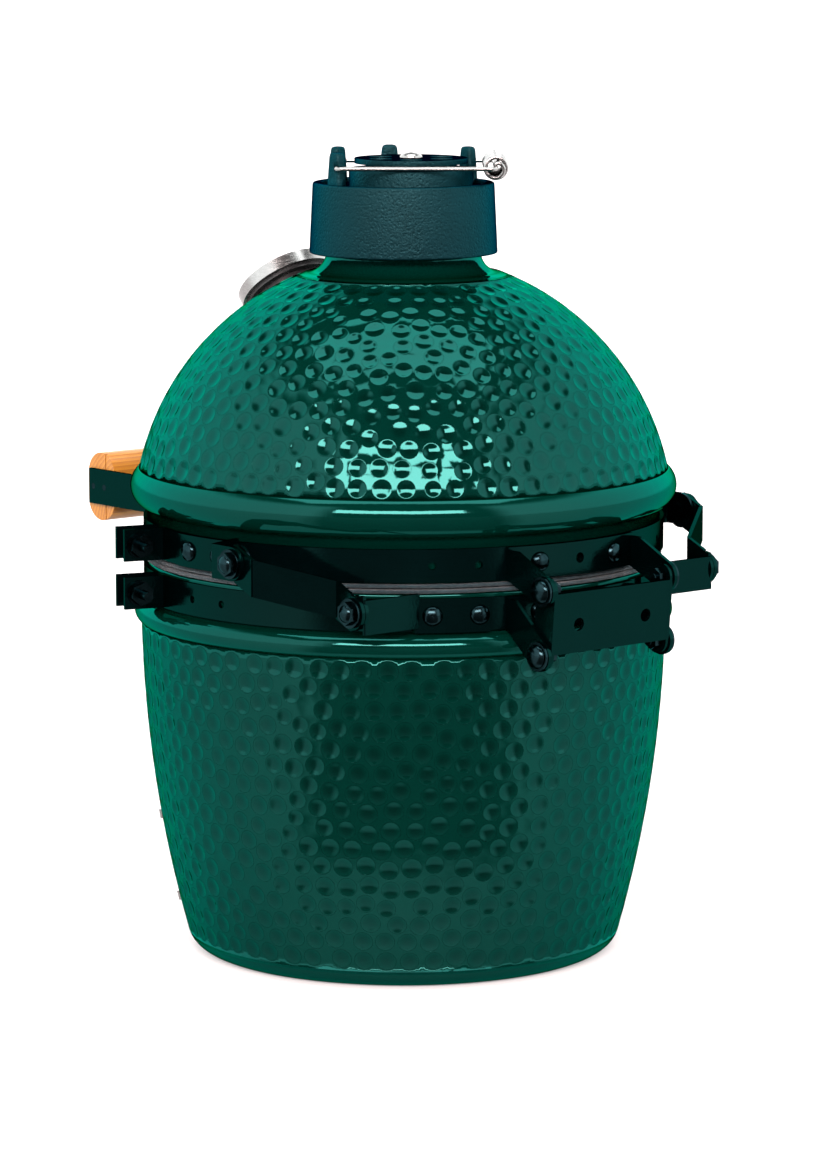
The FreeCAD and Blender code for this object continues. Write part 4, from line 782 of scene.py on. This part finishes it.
def coil_grip():
    """The bail's grip: a close-wound spring of wire on the cross bar."""
    low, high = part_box("bail_grip")
    centre_z = (low.z + high.z) / 2 / MM
    outer = (high.z - low.z) / 2 / MM
    wire, half, grip_u = 1.12, 28.0, 48.5
    coil_r = outer - wire
    pitch = wire * 2.06
    turns = (2 * half - 2 * wire) / pitch
    steps, section = 40, 10
    count = int(turns * steps)
    points, faces = [], []
    for i in range(count + 1):
        angle = 2 * math.pi * i / steps
        taper = min(1.0, i / (steps * 0.75), (count - i) / (steps * 0.75))
        r = coil_r * (0.34 + 0.66 * math.sin(taper * math.pi / 2))
        d = -half + wire + pitch * i / steps
        outward = Vector((math.cos(angle), math.sin(angle)))
        for j in range(section):
            t = 2 * math.pi * j / section
            reach = r + wire * math.cos(t)
            across, up = outward.x * reach, outward.y * reach
            points.append(cap_point(grip_u + across, d + wire * math.sin(t), centre_z + up))
    for i in range(count):
        for j in range(section):
            m = (j + 1) % section
            a, b = i * section, (i + 1) * section
            faces.append((a + j, a + m, b + m, b + j))
    faces.append(tuple(range(section))[::-1])
    last = count * section
    faces.append(tuple(range(last, last + section)))
    return mesh_piece("coil_grip", points, faces, [FINISHES["stainless"]])


HOOD_LOW_R, HOOD_TOP_R, HOOD_INNER_R = 50.0, 48.2, 43.6
HOOD_LOW_Z, HOOD_TOP_Z = 373.5, 411.0
DECK_LOW_Z, DECK_TOP_Z, DECK_PORT_R = 391.8, 397.0, 29.0
LUG_CENTRE_R, LUG_WIDTH, LUG_DEPTH, LUG_TOP_Z = 43.4, 11.0, 6.2, 428.0
BAIL_U, BAIL_Z = -35.0, 419.9


def lug_tool(u, d):
    """A cast post: a soft-cornered block that narrows upwards to a rounded top."""
    low = HOOD_TOP_Z - 1.6
    levels = [(low, 1.0), (low + 6.0, 0.93), (LUG_TOP_Z - 4.0, 0.78), (LUG_TOP_Z - 2.0, 0.74),
              (LUG_TOP_Z - 0.9, 0.66), (LUG_TOP_Z - 0.25, 0.52), (LUG_TOP_Z, 0.32)]
    x, y, _ = cap_point(u, d, 0.0)
    out = Vector((x, y)).normalized()
    along = Vector((-out.y, out.x))
    sides = 36
    points, faces = [], []
    for z, share in levels:
        for k in range(sides):
            t = 2 * math.pi * k / sides
            w = math.copysign(abs(math.cos(t)) ** 0.42, math.cos(t)) * LUG_WIDTH / 2 * share
            e = math.copysign(abs(math.sin(t)) ** 0.42, math.sin(t)) * LUG_DEPTH / 2 * (0.35 + 0.65 * share)
            spot = Vector((x, y)) + along * w + out * e
            points.append((spot.x, spot.y, z))
    for level in range(len(levels) - 1):
        for k in range(sides):
            n = (k + 1) % sides
            a, b = level * sides, (level + 1) * sides
            faces.append((a + k, a + n, b + n, b + k))
    faces.append(tuple(range(sides))[::-1])
    last = (len(levels) - 1) * sides
    faces.append(tuple(range(last, last + sides)))
    return cutter(points, faces)


def cast_hood():
    """The vent cap's ring with its inner deck and four posts."""
    corners = [(HOOD_INNER_R, HOOD_LOW_Z), (HOOD_LOW_R, HOOD_LOW_Z), (HOOD_TOP_R, HOOD_TOP_Z),
               (HOOD_INNER_R, HOOD_TOP_Z), (HOOD_INNER_R, DECK_TOP_Z), (DECK_PORT_R, DECK_TOP_Z),
               (DECK_PORT_R, DECK_LOW_Z), (HOOD_INNER_R, DECK_LOW_Z)]
    rounds = (0.8, 1.1, 1.4, 1.0, 1.5, 0.8, 0.8, 1.5)
    surface = Surface()
    profile = []
    for k, corner in enumerate(corners):
        profile += rounded(corners[k - 1], corner, corners[(k + 1) % len(corners)], rounds[k], 4)
    first, last = surface.turn(profile, 0)
    surface.strip(last, first, 0)
    hood = surface.piece("cast_hood", [FINISHES["cast_iron"]])
    reach = math.sqrt(LUG_CENTRE_R ** 2 - BAIL_U ** 2)
    spots = [(BAIL_U, reach), (BAIL_U, -reach)]
    spots += [(u, -math.sqrt(LUG_CENTRE_R ** 2 - u ** 2)) for u in (-7.5, 34.5)]
    for u, d in spots:
        combine(hood, lug_tool(u, d), "UNION")
    axle = drill_tool(cap_point(BAIL_U, -45.0, BAIL_Z), cap_point(0.0, 1.0, 0.0), 1.3, 90.0, 24)
    combine(hood, axle, "DIFFERENCE")
    return hood


def dial_place(radius, angle, height):
    """A point on the thermometer's dial; angle runs clockwise from its lowest mark."""
    way = Vector(thermometer_way())
    up = Vector((0.0, math.cos(THERMO_POLAR), math.sin(THERMO_POLAR)))
    right = Vector((1.0, 0.0, 0.0))
    centre = Vector(thermometer_point(height))
    return centre + radius * (math.cos(angle) * up + math.sin(angle) * right), way, up, right


def dial_marks():
    """Printed scale: long and short strokes over three quarters of a turn, slightly raised."""
    points, faces = [], []
    strokes = 31
    height = 9.82
    for k in range(strokes):
        angle = math.radians(-135 + 270 * k / (strokes - 1))
        long_mark = k % 5 == 0
        inner, outer, half = (16.2 if long_mark else 18.0), 20.2, (0.38 if long_mark else 0.18)
        at, way, up, right = dial_place(0.0, angle, height)
        radial = math.cos(angle) * up + math.sin(angle) * right
        across = radial.cross(way)
        first = len(points)
        for lift in (0.0, 0.08):
            for r, side in ((inner, -1), (inner, 1), (outer, 1), (outer, -1)):
                points.append(tuple(at + radial * r + across * half * side + way * lift))
        f = first
        faces += [(f, f + 1, f + 2, f + 3), (f + 4, f + 7, f + 6, f + 5)]
        faces += [(f + i, f + 4 + i, f + 4 + (i + 1) % 4, f + (i + 1) % 4) for i in range(4)]
    piece = mesh_piece("dial_marks", points, faces, [PRINT_BLACK])
    piece.data.polygons.foreach_set("use_smooth", np.zeros(len(faces), bool))
    return piece


def dial_number(value, angle):
    """One plain number on the dial."""
    text = bpy.data.curves.new("dial_number_%d" % value, "FONT")
    text.body = str(value)
    text.size = 3.6 * MM
    text.align_x = "CENTER"
    text.align_y = "CENTER"
    text.extrude = 0.04 * MM
    text.materials.append(PRINT_BLACK)
    piece = bpy.data.objects.new("dial_number_%d" % value, text)
    bpy.context.scene.collection.objects.link(piece)
    at, way, up, right = dial_place(13.2, angle, 9.87)
    turn = Matrix((right, up, way)).transposed().to_4x4()
    piece.matrix_world = Matrix.Translation(at * MM) @ turn
    return piece


# ---------------------------------------------------------------- CAD nodes that stay

def repaint():
    """Give every CAD node its procedural finish, by the record's material slots."""
    slots = {part["node"]: part["material_slot"] for part in frame["record"]["subparts"]}
    for name, thing in frame["nodes"].items():
        material = FINISHES[slots[name]]
        for index in range(max(1, len(thing.material_slots))):
            if index < len(thing.material_slots):
                thing.material_slots[index].link = "DATA"
                thing.material_slots[index].material = material
            else:
                thing.data.materials.append(material)


def soften(names, width, segments=2, angle=35.0):
    """Round the sharp edges of carried-over nodes by a small width in millimetres."""
    for name in names:
        thing = frame["nodes"][name]
        weld = thing.modifiers.new("weld", "WELD")
        weld.merge_threshold = 0.00001
        bevel = thing.modifiers.new("edge", "BEVEL")
        bevel.width = width * MM
        bevel.segments = segments
        bevel.limit_method = "ANGLE"
        bevel.angle_limit = math.radians(angle)
        bevel.harden_normals = True
        bevel.use_clamp_overlap = True


# ---------------------------------------------------------------- stage, light and camera

def add_floor():
    half = 40.0 / MM
    floor = mesh_piece("floor", [(-half, -half, 0), (half, -half, 0), (half, half, 0), (-half, half, 0)],
                       [(0, 1, 2, 3)], [floor_paper()])


KEY_STRENGTH = 24.0
OVERHEAD_STRENGTH = 5.4


class Sky:
    """The studio as a soft sky: light panels by direction, seen from the object."""

    def __init__(self):
        world = bpy.data.worlds.new("studio")
        bpy.context.scene.world = world
        world.use_nodes = True
        self.tree = world.node_tree
        self.tree.nodes.clear()
        place = self.add("ShaderNodeTexCoord").outputs["Generated"]
        split = self.add("ShaderNodeSeparateXYZ")
        self.tree.links.new(place, split.inputs["Vector"])
        x, y, z = split.outputs
        toward = self.math("ADD", self.math("MULTIPLY", x, math.sin(CAMERA_AZIMUTH)),
                           self.math("MULTIPLY", y, math.cos(CAMERA_AZIMUTH)))
        side = self.math("ADD", self.math("MULTIPLY", x, -math.cos(CAMERA_AZIMUTH)),
                         self.math("MULTIPLY", y, math.sin(CAMERA_AZIMUTH)))
        self.turn = self.math("ARCTAN2", side, toward)
        self.rise = self.math("ARCSINE", z, 0.0)
        self.overhead = z
        self.side = side
        self.toward = toward

    def add(self, kind, **settings):
        made = self.tree.nodes.new(kind)
        for name, value in settings.items():
            setattr(made, name, value)
        return made

    def math(self, operation, first, second):
        made = self.add("ShaderNodeMath", operation=operation)
        for socket, value in zip(made.inputs, (first, second)):
            if isinstance(value, (int, float)):
                socket.default_value = value
            else:
                self.tree.links.new(value, socket)
        return made.outputs["Value"]

    def edge(self, value, low, high):
        made = self.add("ShaderNodeMapRange", interpolation_type="SMOOTHSTEP")
        made.inputs["From Min"].default_value = low
        made.inputs["From Max"].default_value = high
        self.tree.links.new(value, made.inputs["Value"])
        return made.outputs["Result"]

    def between(self, value, low, high, soft):
        """1 between two limits, with soft edges."""
        rise = self.edge(value, low - soft, low + soft)
        fall = self.edge(value, high + soft, high - soft)
        return self.math("MULTIPLY", rise, fall)

    def panel(self, turn, rise, soft, strength):
        across = self.between(self.turn, *turn, soft)
        inside = self.math("MULTIPLY", across, self.between(self.rise, *rise, soft))
        return self.math("MULTIPLY", inside, strength)


def add_light():
    """Panels: one behind the camera, one overhead, wide walls at the sides and back."""
    sky = Sky()
    deg = math.radians
    key = sky.panel((deg(-30), deg(27)), (deg(21), deg(35)), deg(1.5), KEY_STRENGTH)
    right = sky.panel((deg(42), deg(175)), (deg(-2), deg(48)), deg(7), 2.4)
    left = sky.panel((deg(-175), deg(-34)), (deg(-2), deg(48)), deg(7), 2.4)
    back = sky.panel((deg(170), deg(181)), (deg(-2), deg(40)), deg(4), 2.2)
    other = sky.panel((deg(-181), deg(-170)), (deg(-2), deg(40)), deg(4), 2.2)
    wide = sky.between(sky.side, -0.46, 0.46, 0.03)
    deep = sky.between(sky.toward, -0.2, 0.28, 0.03)
    over = sky.math("MULTIPLY", sky.math("MULTIPLY", wide, deep), sky.edge(sky.overhead, 0.3, 0.5))
    over = sky.math("MULTIPLY", over, OVERHEAD_STRENGTH)
    total = 0.07
    for light in (key, right, left, back, other, over):
        total = sky.math("ADD", light, total)
    studio = sky.add("ShaderNodeBackground")
    sky.tree.links.new(total, studio.inputs["Strength"])
    warm = sky.add("ShaderNodeMix", data_type="RGBA")
    tint = {s.name: s for s in warm.inputs if s.type == "RGBA"}
    tint["A"].default_value = (1.0, 1.0, 1.0, 1.0)
    tint["B"].default_value = (1.3, 1.0, 0.98, 1.0)
    sky.tree.links.new(sky.math("DIVIDE", key, KEY_STRENGTH), warm.inputs["Factor"])
    sky.tree.links.new([s for s in warm.outputs if s.type == "RGBA"][0], studio.inputs["Color"])
    plain = sky.add("ShaderNodeBackground")
    plain.inputs["Color"].default_value = (0.94, 0.94, 0.94, 1.0)
    path = sky.add("ShaderNodeLightPath")
    choose = sky.add("ShaderNodeMixShader")
    sky.tree.links.new(path.outputs["Is Camera Ray"], choose.inputs["Fac"])
    sky.tree.links.new(studio.outputs["Background"], choose.inputs[1])
    sky.tree.links.new(plain.outputs["Background"], choose.inputs[2])
    out = sky.add("ShaderNodeOutputWorld")
    sky.tree.links.new(choose.outputs["Shader"], out.inputs["Surface"])


def add_camera():
    data = bpy.data.cameras.new("camera")
    data.lens = 152.43
    data.sensor_width = 36.0
    data.shift_x = 14.0 / 1149.0
    data.clip_end = 200.0
    camera = bpy.data.objects.new("camera", data)
    distance, height = 2.57845, 0.5905
    camera.location = (distance * math.sin(CAMERA_AZIMUTH), distance * math.cos(CAMERA_AZIMUTH), height)
    camera.rotation_euler = (math.radians(90.0 - 8.599), 0.0, math.radians(140.0))
    bpy.context.scene.collection.objects.link(camera)
    bpy.context.scene.camera = camera


# ---------------------------------------------------------------- assembly

def stand_for(piece, body, slot, *nodes):
    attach(piece, body)
    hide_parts(*nodes)


def printed(piece):
    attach(piece, "dome")


bpy.context.scene.view_settings.view_transform = "Standard"
repaint()
add_floor()
add_light()
add_camera()

stand_for(base_glaze(), "base", "green_glaze", "base_shell")
stand_for(dome_glaze(), "dome", "green_glaze", "dome_shell", "dome_crown")
stand_for(felt_ring("base_felt", "base_gasket"), "base", "felt", "base_gasket")
stand_for(felt_ring("dome_felt", "dome_gasket"), "dome", "felt", "dome_gasket")
stand_for(coil_grip(), "bail", "stainless", "bail_grip")
stand_for(cast_hood(), "cap", "cast_iron", "cap_hood")
printed(dial_marks())
for step in range(7):
    printed(dial_number(50 * (step + 1), math.radians(-135 + 45 * step)))

soften(("vent_lid", "damper_wheel"), 0.8, 3)
soften(("handle_bar",), 1.2, 3)
